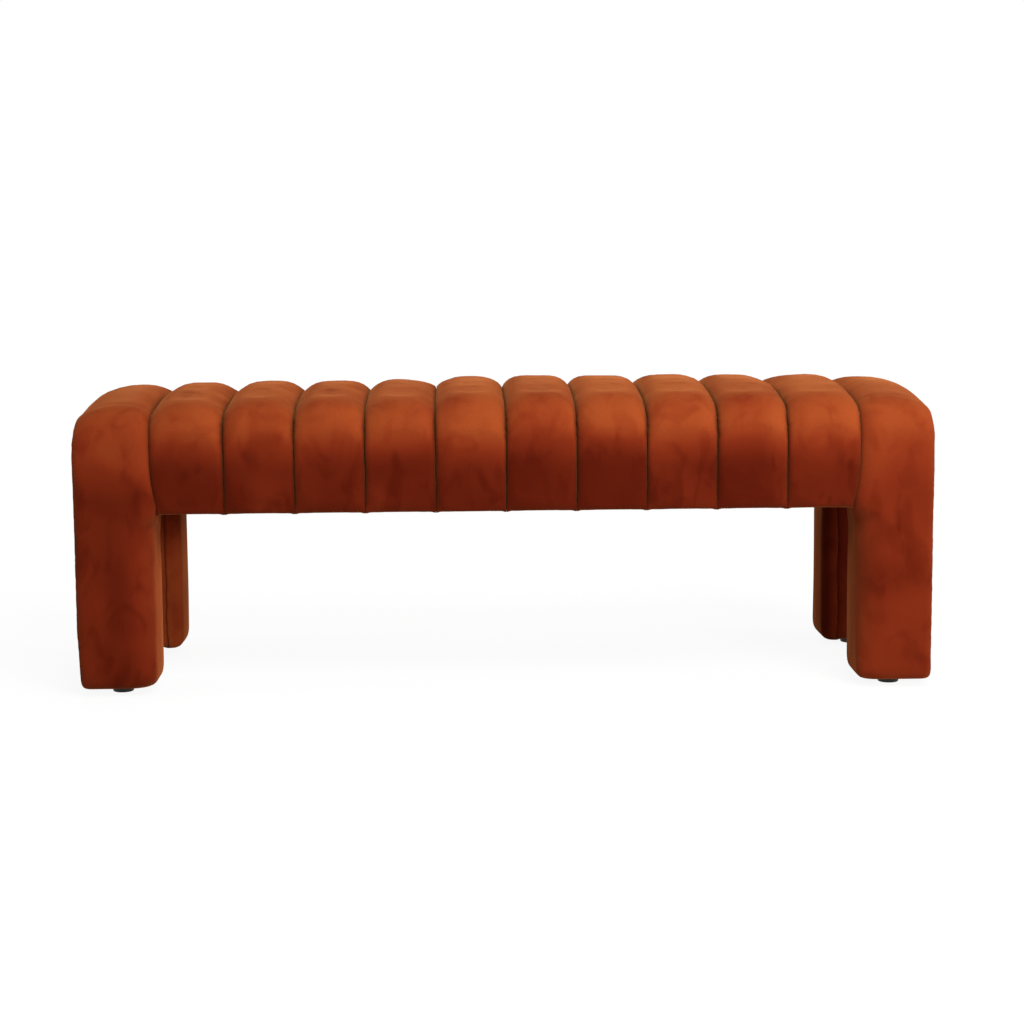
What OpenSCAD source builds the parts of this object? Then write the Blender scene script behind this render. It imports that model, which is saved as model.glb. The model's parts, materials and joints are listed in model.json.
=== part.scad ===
/* [Overall] */
// Length of the bench over its end units
bench_w = 1300; // [1000:10:1700]
// Depth of the bench from front to rear
bench_d = 450; // [400:5:520]
// Height of the seat's crown above the floor
bench_h = 468; // [400:2:520]
// Thickness of the seat with its padding, from its underside to its crown
seat_t = 189; // [165:1:200]
// Visible height of a glide under its leg
glide_h = 14; // [8:1:20]

/* [Legs] */
// Width of a leg along the bench
leg_w = 112; // [104:1:114]
// Depth of a leg from front to rear
leg_d = 112; // [104:1:130]
// Radius of the leg's soft inner corner
leg_soft_r = 18; // [8:1:20]
// Radius of the leg's sewn outer corner
leg_sewn_r = 12; // [6:1:14]
// Inset of the leg's lower edge
leg_inset = 8; // [2:1:10]
// Radius in the corners of the arch between two legs
arch_corner_r = 12; // [6:1:30]

/* [Channels] */
// Number of seat channels between the two end units
channel_count = 10; // [6:1:11]
// Width of an end unit's strip, from the outer face to its seam
end_w = 115; // [113:1:130]
// Height of a channel's crown over its seams, on the seat
crown_top = 18; // [8:1:22]
// Height of a channel's crown over its seams, on the front and rear
crown_front = 12; // [6:1:14]
// Width of the rounded shoulder beside each seam
channel_shoulder = 45; // [25:1:50]
// Drop from an end strip's crown to its outer edge, on the seat
end_drop = 27; // [16:1:30]
// How much lower an end strip's crown is than the channels' crowns
end_lower = 4; // [0:1:6]

/* [Padding] */
// Thickness of velvet and foam at a channel's crown, on the seat
pad_top = 30; // [24:1:40]
// Thickness of velvet and foam at a channel's crown, on the front and rear
pad_front = 22; // [18:1:28]
// Thickness of velvet and foam at the seat's lower edge
pad_low = 16; // [12:1:18]
// Thickness of velvet and foam on an end unit's outer face
pad_side = 14; // [8:1:20]
// Thickness of velvet and foam on a leg's inner face
pad_inner = 12; // [8:1:16]
// Thickness of velvet and foam on the faces inside an arch
pad_arch = 10; // [7:1:14]
// Thickness of the velvet
skin = 2; // [1:0.1:2.5]
// Radius of the seat foam's front and rear edges
foam_edge_r = 36; // [24:1:44]
// Radius of the seat's gentle crown from front to rear
seat_arch_r = 1000; // [800:10:2000]
// Radius of the seat's lower front and rear edges
low_edge_r = 8; // [4:1:10]
// How far the velvet is folded under the rails
seat_tuck = 28; // [20:1:40]
// How far the velvet is folded under the legs
leg_tuck = 10; // [6:1:12]

/* [Frame] */
// Thickness of the rails round the seat box
rail_t = 20; // [16:1:28]
// Thickness of the seat deck
deck_t = 12; // [9:1:18]
// Thickness of the arch-shaped cheeks
cheek_t = 12; // [9:1:18]
// Thickness of the boards between two cheeks
board_t = 12; // [9:1:18]
// Radius of the cheeks' upper corners
cheek_r = 20; // [10:1:30]
// Number of cross rails in the seat box
cross_count = 3; // [1:1:3]
// Thickness of a cross rail
cross_t = 20; // [16:1:28]
// Height of the cross rails' and corner blocks' lower edges over the rails' lower edge
cross_lift = 8; // [4:1:20]
// Leg length of the triangular corner blocks
block_leg = 38; // [25:1:45]
// Height of the foot blocks that take the glides
foot_block_h = 30; // [24:1:45]

/* [Fasteners] */
// Diameter of the connector bolts
bolt_d = 8; // [6:1:10]
// Width of the bolt heads across their flats
bolt_af = 13; // [11:1:17]
// Thickness of the bolt heads
bolt_head_h = 5.3; // [4:0.1:7]
// Diameter of the bolts' washers
washer_d = 24; // [18:1:30]
// Thickness of the bolts' washers
washer_t = 2; // [1:0.1:3]
// Diameter of the tee nuts' flanges
tee_flange_d = 22; // [18:1:26]
// Thickness of the tee nuts' flanges
tee_flange_t = 1.5; // [1:0.1:2.5]
// Wall of the tee nuts' barrels
tee_wall = 1.2; // [1:0.1:1.5]
// Length of the tee nuts' barrels
tee_barrel_l = 8; // [6:0.5:8.5]
// Distance from an end rail's end to its outer bolts
bolt_inset = 73; // [62:1:85]
// Distance along the depth from an outer bolt to the upper bolt beside it
bolt_step = 50; // [34:1:60]
// Clear height between a bolt's nut or washer and the boards above and below
bolt_margin = 8; // [1:1:10]
// Diameter of the dowels
dowel_d = 8; // [6:1:10]
// Length of the dowels
dowel_l = 30; // [20:1:30]
// Distance from a cross rail's upper and lower edges to its dowels
dowel_inset = 19; // [12:1:22]
// Diameter of the wood screws
screw_d = 4; // [3:0.5:5]
// Length of the wood screws
screw_l = 35; // [25:1:45]
// Diameter of the wood screws' heads
screw_head_d = 8; // [7:0.5:9]
// Height of the wood screws' countersunk heads
screw_head_h = 3; // [2:0.5:4]
// Number of deck screws in each rail between two neighbouring cross or end rails
bay_screws = 2; // [1:1:3]

/* [Glides] */
// Diameter of a glide where it meets the leg
glide_top_d = 38; // [34:1:44]
// Diameter of a glide's foot
glide_foot_d = 32; // [28:1:34]
// Radius of the glide's lower edge
glide_edge_r = 2; // [1:0.5:3]
// Diameter of the screw recess in a glide
recess_d = 12; // [11:1:14]
// Depth of the screw recess in a glide
recess_h = 6; // [4:0.5:8]
// Diameter of the glide screws
glide_screw_d = 4.5; // [3:0.5:6]
// Length of the glide screws under their heads
glide_screw_l = 28; // [20:1:30]
// Diameter of the glide screws' heads
glide_head_d = 9; // [7:0.5:10]
// Thickness of the glide screws' heads
glide_head_h = 3; // [2:0.5:4]

/* [Underside] */
// Thickness of the dust cover
dust_t = 0.8; // [0.5:0.1:1.5]
// Distance from the seat box's edges to the dust cover's edges
dust_inset = 12; // [12:1:14]
// Distance from the dust cover's edges to its staples
staple_inset = 5; // [3:1:5]
// Number of staples along one long edge of the dust cover
staples_long = 18; // [8:1:24]
// Number of staples along one short edge of the dust cover
staples_short = 6; // [3:1:8]
// Width of a staple's crown
staple_w = 10; // [6:1:12]
// Length of a staple's legs
staple_l = 10; // [8:1:14]
// Width of the flat staple wire
staple_wire = 1.2; // [0.8:0.1:1.6]
// Thickness of the flat staple wire
staple_wire_t = 0.6; // [0.4:0.1:0.8]

/* [Hidden] */
// Clearance between soft pieces, and between foam and wood
gap = 0.3;
// Glue line between two wooden pieces
glue = 0.1;
// Radial clearance of a dowel, screw or bolt in its hole
hole_gap = 0.15;
// Overrun of every cut
over = 1;
// Facets of the round corners of the arch-shaped pieces
corner_steps = 6;
$fn = 48;

velvet = [0.55, 0.2, 0.08];
foam_yellow = [0.93, 0.88, 0.68];
foam_white = [0.94, 0.93, 0.9];
plywood = [0.8, 0.66, 0.47];
pine = [0.87, 0.74, 0.52];
beech = [0.82, 0.62, 0.42];
zinc = [0.76, 0.76, 0.78];
black = [0.05, 0.05, 0.055];

half_w = bench_w / 2;
half_d = bench_d / 2;
pitch = (bench_w - 2 * end_w) / channel_count;
seat_half = half_w - end_w;
// Room of the velvet and its clearance over the foam
cloth = skin + gap;

// Underside of the seat
under_h = bench_h - seat_t;

// Faces of the wood that the padding lies on
wood_y = half_d - pad_front;
wood_low = under_h + cloth;
foot_z = glide_h + cloth;
arch_y = half_d - leg_d;
arch_wood_y = arch_y + pad_arch;
arch_wood_z = under_h + pad_arch;

// Seat section: a corner circle tangent to the front face and to the gently arched top
edge_y = wood_y - foam_edge_r;
arch_centre_z = bench_h - pad_top - seat_arch_r;
edge_z = arch_centre_z + sqrt(pow(seat_arch_r - foam_edge_r, 2) - pow(edge_y, 2));
edge_tilt = asin(edge_y / (seat_arch_r - foam_edge_r));

// Levels of the frame
deck_top = edge_z;
deck_low = deck_top - deck_t;
rail_top = deck_low - glue;
foam_base_z = deck_top + gap;

// Places in an end unit, measured from its outer face inwards
outer_cheek_u = pad_side;
inner_cheek_u = leg_w - pad_inner - cheek_t;
board_u = outer_cheek_u + cheek_t + glue;
board_w = inner_cheek_u - glue - board_u;
glide_u = leg_w / 2;
glide_y = half_d - leg_d / 2;

// Seat box
rail_half = half_w - leg_w + pad_inner - glue;
rail_in_x = rail_half - rail_t;
rail_in_y = wood_y - rail_t;
part_in_y = rail_in_y - glue;

function mix(a, b, t) = a + (b - a) * t;
function reverse(list) = [for (i = [len(list) - 1:-1:0]) list[i]];
function flat(lists) = [for (l = lists) each l];
function arc(y, z, r, from, to) =
    [for (k = [0:corner_steps]) let (a = mix(from, to, k / corner_steps)) [y + r * cos(a), z + r * sin(a)]];

// Steps of the turn round the seat foam's edge
edge_turns = 4;
// Height in which the padding at the seat's lower edge grows to its full thickness
low_rise = 20;
// Direction of the row in the middle of the seat's lower edge
low_turn = 225;
// Crown at the start of the seat's lower edge, as a share of the edge's radius inside the velvet
low_crown_share = 0.6;
// Place of the row between the middle of the seat and the turn round its edge
top_row_share = 0.5;

// A row of a soft sweep holds base y and z, crown y and z, normal y and z, crown height and share on the seat

function mirror_row(r) = [-r[0], r[1], -r[2], r[3], -r[4], r[5], r[6], r[7]];
function both_sides(front, middle) = concat(front, [middle], [for (r = reverse(front)) mirror_row(r)]);
function turn_row(y, z, base_r, pad, phi, crown, share) =
    let (c = cos(phi), s = sin(phi), top_r = base_r + pad)
    [y + base_r * c, z + base_r * s, y + top_r * c, z + top_r * s, c, s, crown, share];
function face_row(z, pad, crown) = [-wood_y - gap, z, -wood_y - pad, z, -1, 0, crown, 0];
function edge_row(k) =
    let (share = k / edge_turns)
    turn_row(-edge_y, edge_z, foam_edge_r + gap, mix(pad_front, pad_top, share) - gap,
        180 - share * (90 - edge_tilt), mix(crown_front, crown_top, share), share);
function top_row(share) =
    turn_row(0, arch_centre_z, seat_arch_r + gap, pad_top - gap, 90 + edge_tilt * share, crown_top, 1);

// Rows under the rail and round the seat's lower edge
tuck_row = [-wood_y + seat_tuck, wood_low, -wood_y + seat_tuck, under_h, 0, -1, 0, 0];
low_centre_y = -wood_y - pad_low + low_edge_r;
low_centre_z = under_h + low_edge_r;
bottom_row = [-wood_y - gap, wood_low, low_centre_y, under_h, 0, -1, 0, 0];
corner_row = [-wood_y - gap, (wood_low + low_centre_z) / 2, low_centre_y + low_edge_r * cos(low_turn),
    low_centre_z + low_edge_r * sin(low_turn), cos(low_turn), sin(low_turn), 0, 0];
low_rows = [face_row(low_centre_z, pad_low, low_crown_share * (low_edge_r - skin)),
    face_row(low_centre_z + low_rise, pad_front, crown_front)];
upper_rows = concat([for (k = [0:edge_turns]) edge_row(k)], [top_row(top_row_share)]);
cover_rows = both_sides(concat([tuck_row, bottom_row, corner_row], low_rows, upper_rows), top_row(0));
strip_rows = both_sides(concat([bottom_row, corner_row], low_rows, upper_rows), top_row(0));
end_low_rows = [for (z = [low_centre_z, low_centre_z + low_rise]) face_row(z, pad_front, crown_front)];
end_seat_rows = both_sides(concat(end_low_rows, upper_rows), top_row(0));

// Points of a row at x, n above its crown line, and at its base
function at(r, x, n) = [x, r[2] + r[4] * n, r[3] + r[5] * n];
function base_at(r, x) = [x, r[0], r[1]];

// Shoulder beside a seam: [distance from the seam, share of the crown that is lost]
shoulder_angles = [0, 30, 60];
function shoulder(w) = [for (a = shoulder_angles) [w * (1 - cos(a)), 1 - sin(a)]];
function channel_points(w) =
    let (s = shoulder(min(channel_shoulder, w / 2)))
    concat(s, [[w / 2, 0]], [for (p = reverse(s)) [w - p[0], p[1]]]);

// Closed shell between two grids whose rows may differ in length
function row_starts(rows, i = 0, sum = 0) =
    i == len(rows) ? [] : concat([sum], row_starts(rows, i + 1, sum + len(rows[i])));
module shell(outer, inner) {
    starts = row_starts(outer);
    count = len(flat(outer));
    function id(i, j, side) = side * count + starts[i] + j;
    function cell(i, j) = i >= 0 && i < len(outer) - 1 && j >= 0
        && j < min(len(outer[i]), len(outer[i + 1])) - 1;
    function quad(a, b, c, d) = [[a, b, c], [a, c, d]];
    function wall(i, j, k, l) = quad(id(i, j, 0), id(k, l, 0), id(k, l, 1), id(i, j, 1));
    faces = [for (i = [0:len(outer) - 2]) for (j = [0:len(outer[i]) - 2]) if (cell(i, j)) each concat(
        quad(id(i, j, 0), id(i + 1, j, 0), id(i + 1, j + 1, 0), id(i, j + 1, 0)),
        quad(id(i, j, 1), id(i, j + 1, 1), id(i + 1, j + 1, 1), id(i + 1, j, 1)),
        cell(i - 1, j) ? [] : wall(i, j, i, j + 1),
        cell(i + 1, j) ? [] : wall(i + 1, j + 1, i + 1, j),
        cell(i, j - 1) ? [] : wall(i + 1, j, i, j),
        cell(i, j + 1) ? [] : wall(i, j + 1, i + 1, j + 1))];
    polyhedron(concat(flat(outer), flat(inner)), faces);
}

// Closed solid through rings of points, with fanned ends
module loft(rings) {
    n = len(rings[0]);
    last = len(rings) - 1;
    function id(i, j) = i * n + j % n;
    sides = [for (i = [0:last - 1]) for (j = [0:n - 1])
        each [[id(i, j), id(i + 1, j), id(i + 1, j + 1)], [id(i, j), id(i + 1, j + 1), id(i, j + 1)]]];
    ends = [for (j = [1:n - 2])
        each [[id(0, 0), id(0, j), id(0, j + 1)], [id(last, 0), id(last, j + 1), id(last, j)]]];
    polyhedron(flat(rings), concat(sides, ends));
}

// Plate with an outline in y and z, from u to u + t along the bench
module plate(u, t) {
    translate([u, 0, 0]) rotate([90, 0, 90]) linear_extrude(t) children();
}

module block(low, high) {
    translate(low) cube(high - low);
}

// Cylinder along the bench's length or along its depth, from a point
module rod_x(p, r, l) {
    translate(p) rotate([0, 90, 0]) cylinder(r = r, h = l);
}

module rod_y(p, r, l) {
    translate(p) rotate([-90, 0, 0]) cylinder(r = r, h = l);
}

// An end unit's pieces are written for the left side, with the outer face at x = 0
module left_side() {
    translate([-half_w, 0, 0]) children();
}

module right_side() {
    mirror([1, 0, 0]) left_side() children();
}

module front_and_rear() {
    children();
    mirror([0, 1, 0]) children();
}

module both_ends() {
    left_side() children();
    right_side() children();
}

// Velvet of seat channel i, counted from 0: under the front rail, over the seat, to under the rear rail
module channel_cover(i) {
    x = -seat_half + i * pitch + gap / 2;
    points = channel_points(pitch - gap);
    outer = [for (r = cover_rows) [for (p = points) at(r, x + p[0], -r[6] * p[1])]];
    inner = [for (r = cover_rows) [for (p = points) at(r, x + p[0], -r[6] * p[1] - skin)]];
    color(velvet) shell(outer, inner);
}

// Foam strips of all seat channels, under their velvet and on the rails and the seat foam
module channel_foam() {
    points = channel_points(pitch - gap);
    color(foam_white) for (i = [0:channel_count - 1]) {
        x = -seat_half + i * pitch + gap / 2;
        loft([for (r = strip_rows) concat(
            [base_at(r, x)],
            [for (p = points) at(r, x + p[0], -r[6] * p[1] - cloth)],
            [base_at(r, x + pitch - gap)])]);
    }
}

// Leg loops: [height, inset of the lower edge], from the floor up
leg_rows = [[glide_h, leg_inset], [glide_h + leg_inset / 2, leg_inset / 4], [glide_h + 2 * leg_inset, 0],
    [(glide_h + under_h) / 2, 0], [under_h - gap, 0]];

// Loop of a leg at a row, t under its surface: outer seam, front face, soft corner, inner face
function leg_front(row, t) =
    let (z = row[0] + t * row[1] / leg_inset, e = row[1], y = -half_d)
    concat(
        [for (a = shoulder_angles) [leg_sewn_r - (leg_sewn_r - t) * cos(a),
            y + leg_sewn_r - (leg_sewn_r - t) * sin(a) + e * sin(a), z]],
        [[leg_w / 2, y + t + e, z]],
        [for (a = reverse(shoulder_angles)) [leg_w - leg_soft_r - e + (leg_soft_r - t) * cos(a),
            y + leg_soft_r + e - (leg_soft_r - t) * sin(a), z]]);
function leg_inside(row, t) =
    let (z = row[0] + t * row[1] / leg_inset)
    [for (v = [leg_d / 2, leg_d - cloth]) [leg_w - row[1] - t, -half_d + v, z]];
// Edge of the velvet folded under the leg, a little narrower than the leg's lower edge
function leg_tuck_points(t) =
    let (low_w = leg_w - leg_inset, y = -wood_y + leg_tuck, z = glide_h + t)
    [for (p = leg_front(leg_rows[0], t)) [mix(cloth, low_w - 2 * cloth, p[0] / low_w), y, z]];

// Points across an end strip on the seat: [u, n], from the outer edge to the seam
function end_points(r) =
    let (
        w = end_w - gap / 2,
        in_w = min(channel_shoulder, w / 2),
        out_w = mix(leg_sewn_r, w - in_w, r[7]),
        drop = mix(leg_sewn_r, end_drop, r[7]),
        lower = end_lower * r[7]
    )
    concat(
        [for (a = shoulder_angles) [out_w * (1 - cos(a)), -lower - drop * (1 - sin(a))]],
        [[mix(w / 2, w - in_w, r[7]), -lower]],
        [for (a = reverse(shoulder_angles))
            [w - in_w * (1 - cos(a)), -lower - (r[6] - lower) * (1 - sin(a))]]);
// Loop of an end strip at a row on the seat, t under its surface
function end_loop(r, t) =
    let (points = end_points(r))
    [for (j = [0:len(points) - 1])
        let (a = j < len(shoulder_angles) ? shoulder_angles[j] : 90)
        at(r, points[j][0] + t * cos(a), points[j][1] - t * sin(a))];

// Rear loops mirror the front ones
function mirror_loop(loop) = [for (p = loop) [p[0], -p[1], p[2]]];
function end_unit(leg_loops, seat_loops) =
    concat(leg_loops, seat_loops, [for (l = reverse(leg_loops)) mirror_loop(l)]);

// Velvet strip of an end unit, with the flaps that cover the legs' inner faces
function arch_cover_grid(t) = end_unit(
    concat([leg_tuck_points(t)], [for (row = leg_rows) concat(leg_front(row, t), leg_inside(row, t))]),
    [for (r = end_seat_rows) end_loop(r, t)]);
module arch_cover() {
    color(velvet) shell(arch_cover_grid(0), arch_cover_grid(skin));
}

// Foam of an end unit under its strip: on the legs' front and rear faces and over the top
module arch_foam() {
    base_y = -wood_y - gap;
    legs = [for (row = leg_rows) if (row[1] < leg_inset)
        let (z = row[0] + cloth * row[1] / leg_inset)
        concat([[cloth, base_y, z]], leg_front(row, cloth), [[leg_w - cloth - row[1], base_y, z]])];
    seat = [for (r = end_seat_rows)
        let (z = min(r[1], foam_base_z), w = end_w - gap / 2)
        concat([[cloth, r[0], z]], end_loop(r, cloth), [[w, r[0], z]])];
    color(foam_white) loft(end_unit(legs, seat));
}

// Outline of an inverted U with round corners
function arch_outline(outer_y, outer_z, outer_r, inner_y, inner_z, inner_r, low) = concat(
    [[-outer_y, low]],
    arc(-outer_y + outer_r, outer_z - outer_r, outer_r, 180, 90),
    arc(outer_y - outer_r, outer_z - outer_r, outer_r, 90, 0),
    [[outer_y, low]],
    arch_inside(inner_y, inner_z, inner_r, low));
function arch_inside(inner_y, inner_z, inner_r, low) = concat(
    [[inner_y, low]],
    arc(inner_y - inner_r, inner_z - inner_r, inner_r, 0, 90),
    arc(-inner_y + inner_r, inner_z - inner_r, inner_r, 90, 180),
    [[-inner_y, low]]);

// Velvet panel of an end unit's outer face, with the edges folded under its legs
function seam_point(r) =
    let (n = end_points(r)[0][1] - gap)
    [r[2] + r[4] * n, r[3] + r[5] * n];
module outer_cover() {
    seam_y = half_d - leg_sewn_r - gap;
    fold_y = wood_y - leg_tuck - gap;
    outline = concat(
        [[-fold_y, glide_h], [-fold_y, foot_z], [-seam_y, foot_z]],
        [for (r = end_seat_rows) seam_point(r)],
        [[seam_y, foot_z], [fold_y, foot_z], [fold_y, glide_h]],
        arch_inside(arch_y, under_h, arch_corner_r, glide_h));
    color(velvet) {
        plate(0, skin) polygon(outline);
        front_and_rear()
            block([0, -fold_y, glide_h], [leg_tuck + skin, -arch_y - leg_tuck - gap, glide_h + skin]);
    }
}

// Velvet lining of the arch between two legs, folded under them
module arch_lining() {
    color(velvet) {
        plate(cloth, leg_w - cloth) polygon(arch_outline(
            arch_y + skin, under_h + skin, arch_corner_r + skin,
            arch_y, under_h, arch_corner_r, glide_h));
        front_and_rear() block([cloth, -arch_y - leg_tuck, glide_h],
            [leg_w - leg_inset - cloth, -arch_y - skin / 2, glide_h + skin]);
    }
}

// Foam under the arch lining
module lining_foam() {
    color(foam_yellow) plate(cloth, leg_w - pad_inner - cloth) polygon(arch_outline(
        arch_wood_y - gap, arch_wood_z - gap, arch_corner_r + pad_arch - gap,
        arch_y + cloth, under_h + cloth, arch_corner_r + cloth, foot_z));
}

// Foam sheet on the outer cheek
module outer_foam() {
    color(foam_yellow) plate(cloth, pad_side - cloth - gap) polygon(arch_outline(
        wood_y, deck_top, cheek_r, arch_wood_y, arch_wood_z, arch_corner_r + pad_arch, foot_z));
}

// Foam sheets on the inner faces of the two legs
module inner_foam() {
    low_z = glide_h + 2 * leg_inset;
    color(foam_yellow) front_and_rear()
        block([leg_w - pad_inner + gap, -wood_y, low_z], [leg_w - cloth, -arch_y - cloth, under_h]);
}

// Upholstery foam between the deck and the channels' strips
module seat_foam() {
    path = [for (r = both_sides(upper_rows, top_row(0))) [r[0] - r[4] * gap, r[1] - r[5] * gap]];
    color(foam_yellow) plate(-seat_half + gap, 2 * (seat_half - gap)) polygon(concat(
        [[-wood_y, foam_base_z]],
        [for (k = [1:len(path) - 2]) path[k]],
        [[wood_y, foam_base_z]]));
}

// Places of the bolts on an end rail and its cheek: [y, z]
bolt_y = part_in_y - bolt_inset;
bolt_low_z = arch_wood_z + board_t + bolt_margin + tee_flange_d / 2;
bolt_high_z = rail_top - bolt_margin - washer_d / 2;
bolt_places = [for (s = [-1, 1]) each [[s * bolt_y, bolt_low_z], [s * (bolt_y - bolt_step), bolt_high_z]]];

// Inner end of a bolt, measured from the outer face of its end unit
rail_in_u = half_w - rail_in_x;
bolt_head_u = rail_in_u + washer_t;
bolt_tip_u = inner_cheek_u - tee_flange_t;
bolt_hole_r = bolt_d / 2 + hole_gap;
tee_barrel_r = bolt_hole_r + tee_wall;

module bolt_holes() {
    for (p = bolt_places)
        rod_x([inner_cheek_u - over, p[0], p[1]], bolt_hole_r, rail_in_u - inner_cheek_u + 2 * over);
}

module connector_bolts() {
    color(zinc) both_ends() for (p = bolt_places) {
        rod_x([bolt_tip_u, p[0], p[1]], bolt_d / 2, bolt_head_u - bolt_tip_u + bolt_head_h / 2);
        translate([bolt_head_u, p[0], p[1]]) rotate([0, 90, 0])
            cylinder(d = bolt_af / cos(30), h = bolt_head_h, $fn = 6);
    }
}

module bolt_washers() {
    color(zinc) both_ends() for (p = bolt_places) difference() {
        rod_x([rail_in_u, p[0], p[1]], washer_d / 2, washer_t);
        rod_x([rail_in_u - over, p[0], p[1]], bolt_hole_r, washer_t + 2 * over);
    }
}

module tee_nuts() {
    color(zinc) both_ends() for (p = bolt_places) difference() {
        union() {
            rod_x([bolt_tip_u, p[0], p[1]], tee_flange_d / 2, tee_flange_t);
            rod_x([bolt_tip_u, p[0], p[1]], tee_barrel_r, tee_flange_t + tee_barrel_l);
        }
        rod_x([bolt_tip_u - over, p[0], p[1]], bolt_hole_r, tee_flange_t + tee_barrel_l + 2 * over);
    }
}

// Seat box: rails, cross rails, dowels, corner blocks and deck
cross_places = [for (k = [1:cross_count]) mix(-rail_in_x, rail_in_x, k / (cross_count + 1))];
part_places = concat([-rail_in_x - rail_t / 2], cross_places, [rail_in_x + rail_t / 2]);
part_low = wood_low + cross_lift;
dowel_levels = [part_low + dowel_inset, rail_top - dowel_inset];
deck_screw_places = [for (i = [0:cross_count]) for (k = [1:bay_screws])
    mix(part_places[i], part_places[i + 1], (k - 1 / 2) / bay_screws)];
deck_screw_y = wood_y - rail_t / 2;

module dowels(r, spare) {
    for (x = part_places) for (z = dowel_levels)
        rod_y([x, -rail_in_y - dowel_l / 2 - spare, z], r, dowel_l + 2 * spare);
}

module dowel_holes() {
    dowels(dowel_d / 2 + hole_gap, hole_gap);
}

module rail_dowels() {
    color(beech) front_and_rear() dowels(dowel_d / 2, 0);
}

// Countersunk wood screw along +Z, its head's top at z = 0; wider and longer by spare for its hole
module screw(spare) {
    r = screw_d / 2 + spare;
    translate([0, 0, -screw_l - spare]) cylinder(r = r, h = screw_l + spare);
    translate([0, 0, -screw_head_h]) cylinder(r1 = r, r2 = screw_head_d / 2 + spare, h = screw_head_h);
}

module deck_screw_set(spare) {
    for (x = deck_screw_places) translate([x, -deck_screw_y, deck_top]) screw(spare);
}

module deck_screws() {
    color(zinc) front_and_rear() deck_screw_set(0);
}

module front_rail() {
    color(pine) difference() {
        block([-rail_half, -wood_y, wood_low], [rail_half, -rail_in_y, rail_top]);
        dowel_holes();
        deck_screw_set(hole_gap);
    }
}

module rear_rail() {
    mirror([0, 1, 0]) front_rail();
}

module end_rail() {
    color(pine) difference() {
        block([rail_in_u - rail_t, -part_in_y, wood_low], [rail_in_u, part_in_y, rail_top]);
        bolt_holes();
        translate([half_w, 0, 0]) front_and_rear() dowel_holes();
    }
}

module cross_rails() {
    color(pine) difference() {
        for (x = cross_places)
            block([x - cross_t / 2, -part_in_y, part_low], [x + cross_t / 2, part_in_y, rail_top]);
        front_and_rear() dowel_holes();
    }
}

module corner_blocks() {
    in_x = rail_in_x - glue;
    color(pine) for (sx = [-1, 1]) for (sy = [-1, 1])
        translate([0, 0, part_low]) linear_extrude(rail_top - part_low) polygon([
            [sx * in_x, sy * part_in_y],
            [sx * (in_x - block_leg), sy * part_in_y],
            [sx * in_x, sy * (part_in_y - block_leg)]]);
}

module seat_deck() {
    color(plywood) difference() {
        block([-rail_half, -wood_y, deck_low], [rail_half, wood_y, deck_top]);
        front_and_rear() deck_screw_set(hole_gap);
    }
}

// End unit: two arch-shaped cheeks with boards between them
front_board_y = wood_y - board_t / 2;
arch_board_y = arch_wood_y + board_t / 2;
top_board_z = deck_top - board_t / 2;
arch_board_z = arch_wood_z + board_t / 2;
board_screw_y = arch_wood_y / 2;
// Places of a leg's screws, as shares of its height up to the arch
leg_screw_shares = [0.3, 0.8];
cheek_screw_places = concat(
    [for (s = [-1, 1]) for (y = [front_board_y, arch_board_y]) for (t = leg_screw_shares)
        [s * y, mix(foot_z, arch_wood_z, t)]],
    [for (s = [-1, 1]) for (z = [top_board_z, arch_board_z]) [s * board_screw_y, z]]);

module cheek_screw_set(spare) {
    for (p = cheek_screw_places) {
        translate([outer_cheek_u, p[0], p[1]]) rotate([0, -90, 0]) screw(spare);
        translate([inner_cheek_u + cheek_t, p[0], p[1]]) rotate([0, 90, 0]) screw(spare);
    }
}

module cheek_screws() {
    color(zinc) both_ends() cheek_screw_set(0);
}

module cheek(u) {
    plate(u, cheek_t) polygon(arch_outline(wood_y, deck_top, cheek_r,
        arch_wood_y, arch_wood_z, arch_corner_r + pad_arch, foot_z));
}

module outer_cheek() {
    color(plywood) difference() {
        cheek(outer_cheek_u);
        cheek_screw_set(hole_gap);
    }
}

module inner_cheek() {
    color(plywood) difference() {
        cheek(inner_cheek_u);
        cheek_screw_set(hole_gap);
        bolt_holes();
        for (p = bolt_places)
            rod_x([inner_cheek_u - over, p[0], p[1]], tee_barrel_r + hole_gap, over + tee_barrel_l + gap);
    }
}

module top_board() {
    half = wood_y - cheek_r;
    color(plywood) difference() {
        block([board_u, -half, deck_top - board_t], [board_u + board_w, half, deck_top]);
        cheek_screw_set(hole_gap);
    }
}

module arch_board() {
    half = arch_wood_y + board_t;
    color(plywood) difference() {
        block([board_u, -half, arch_wood_z], [board_u + board_w, half, arch_wood_z + board_t]);
        cheek_screw_set(hole_gap);
    }
}

// Front board and arch-side board of a front leg
module leg_boards() {
    color(plywood) difference() {
        union() {
            block([board_u, -wood_y, foot_z], [board_u + board_w, -wood_y + board_t, deck_top - cheek_r]);
            block([board_u, -arch_wood_y - board_t, foot_z],
                [board_u + board_w, -arch_wood_y, arch_wood_z - glue]);
        }
        cheek_screw_set(hole_gap);
    }
}

module rear_leg_boards() {
    mirror([0, 1, 0]) leg_boards();
}

// Glide and its screw, on a vertical line through the leg's middle
module glide_place() {
    translate([glide_u, -glide_y, 0]) children();
}

module glide_screw(spare) {
    shank_r = glide_screw_d / 2 + spare;
    translate([0, 0, recess_h - spare]) cylinder(r = shank_r, h = glide_screw_l + 2 * spare);
    translate([0, 0, recess_h - glide_head_h]) cylinder(d = glide_head_d, h = glide_head_h);
}

module foot_blocks() {
    color(pine) front_and_rear() both_ends() difference() {
        block([board_u, -wood_y + board_t + glue, foot_z],
            [board_u + board_w, -arch_wood_y - board_t - glue, foot_z + foot_block_h]);
        glide_place() glide_screw(hole_gap);
    }
}

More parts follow.
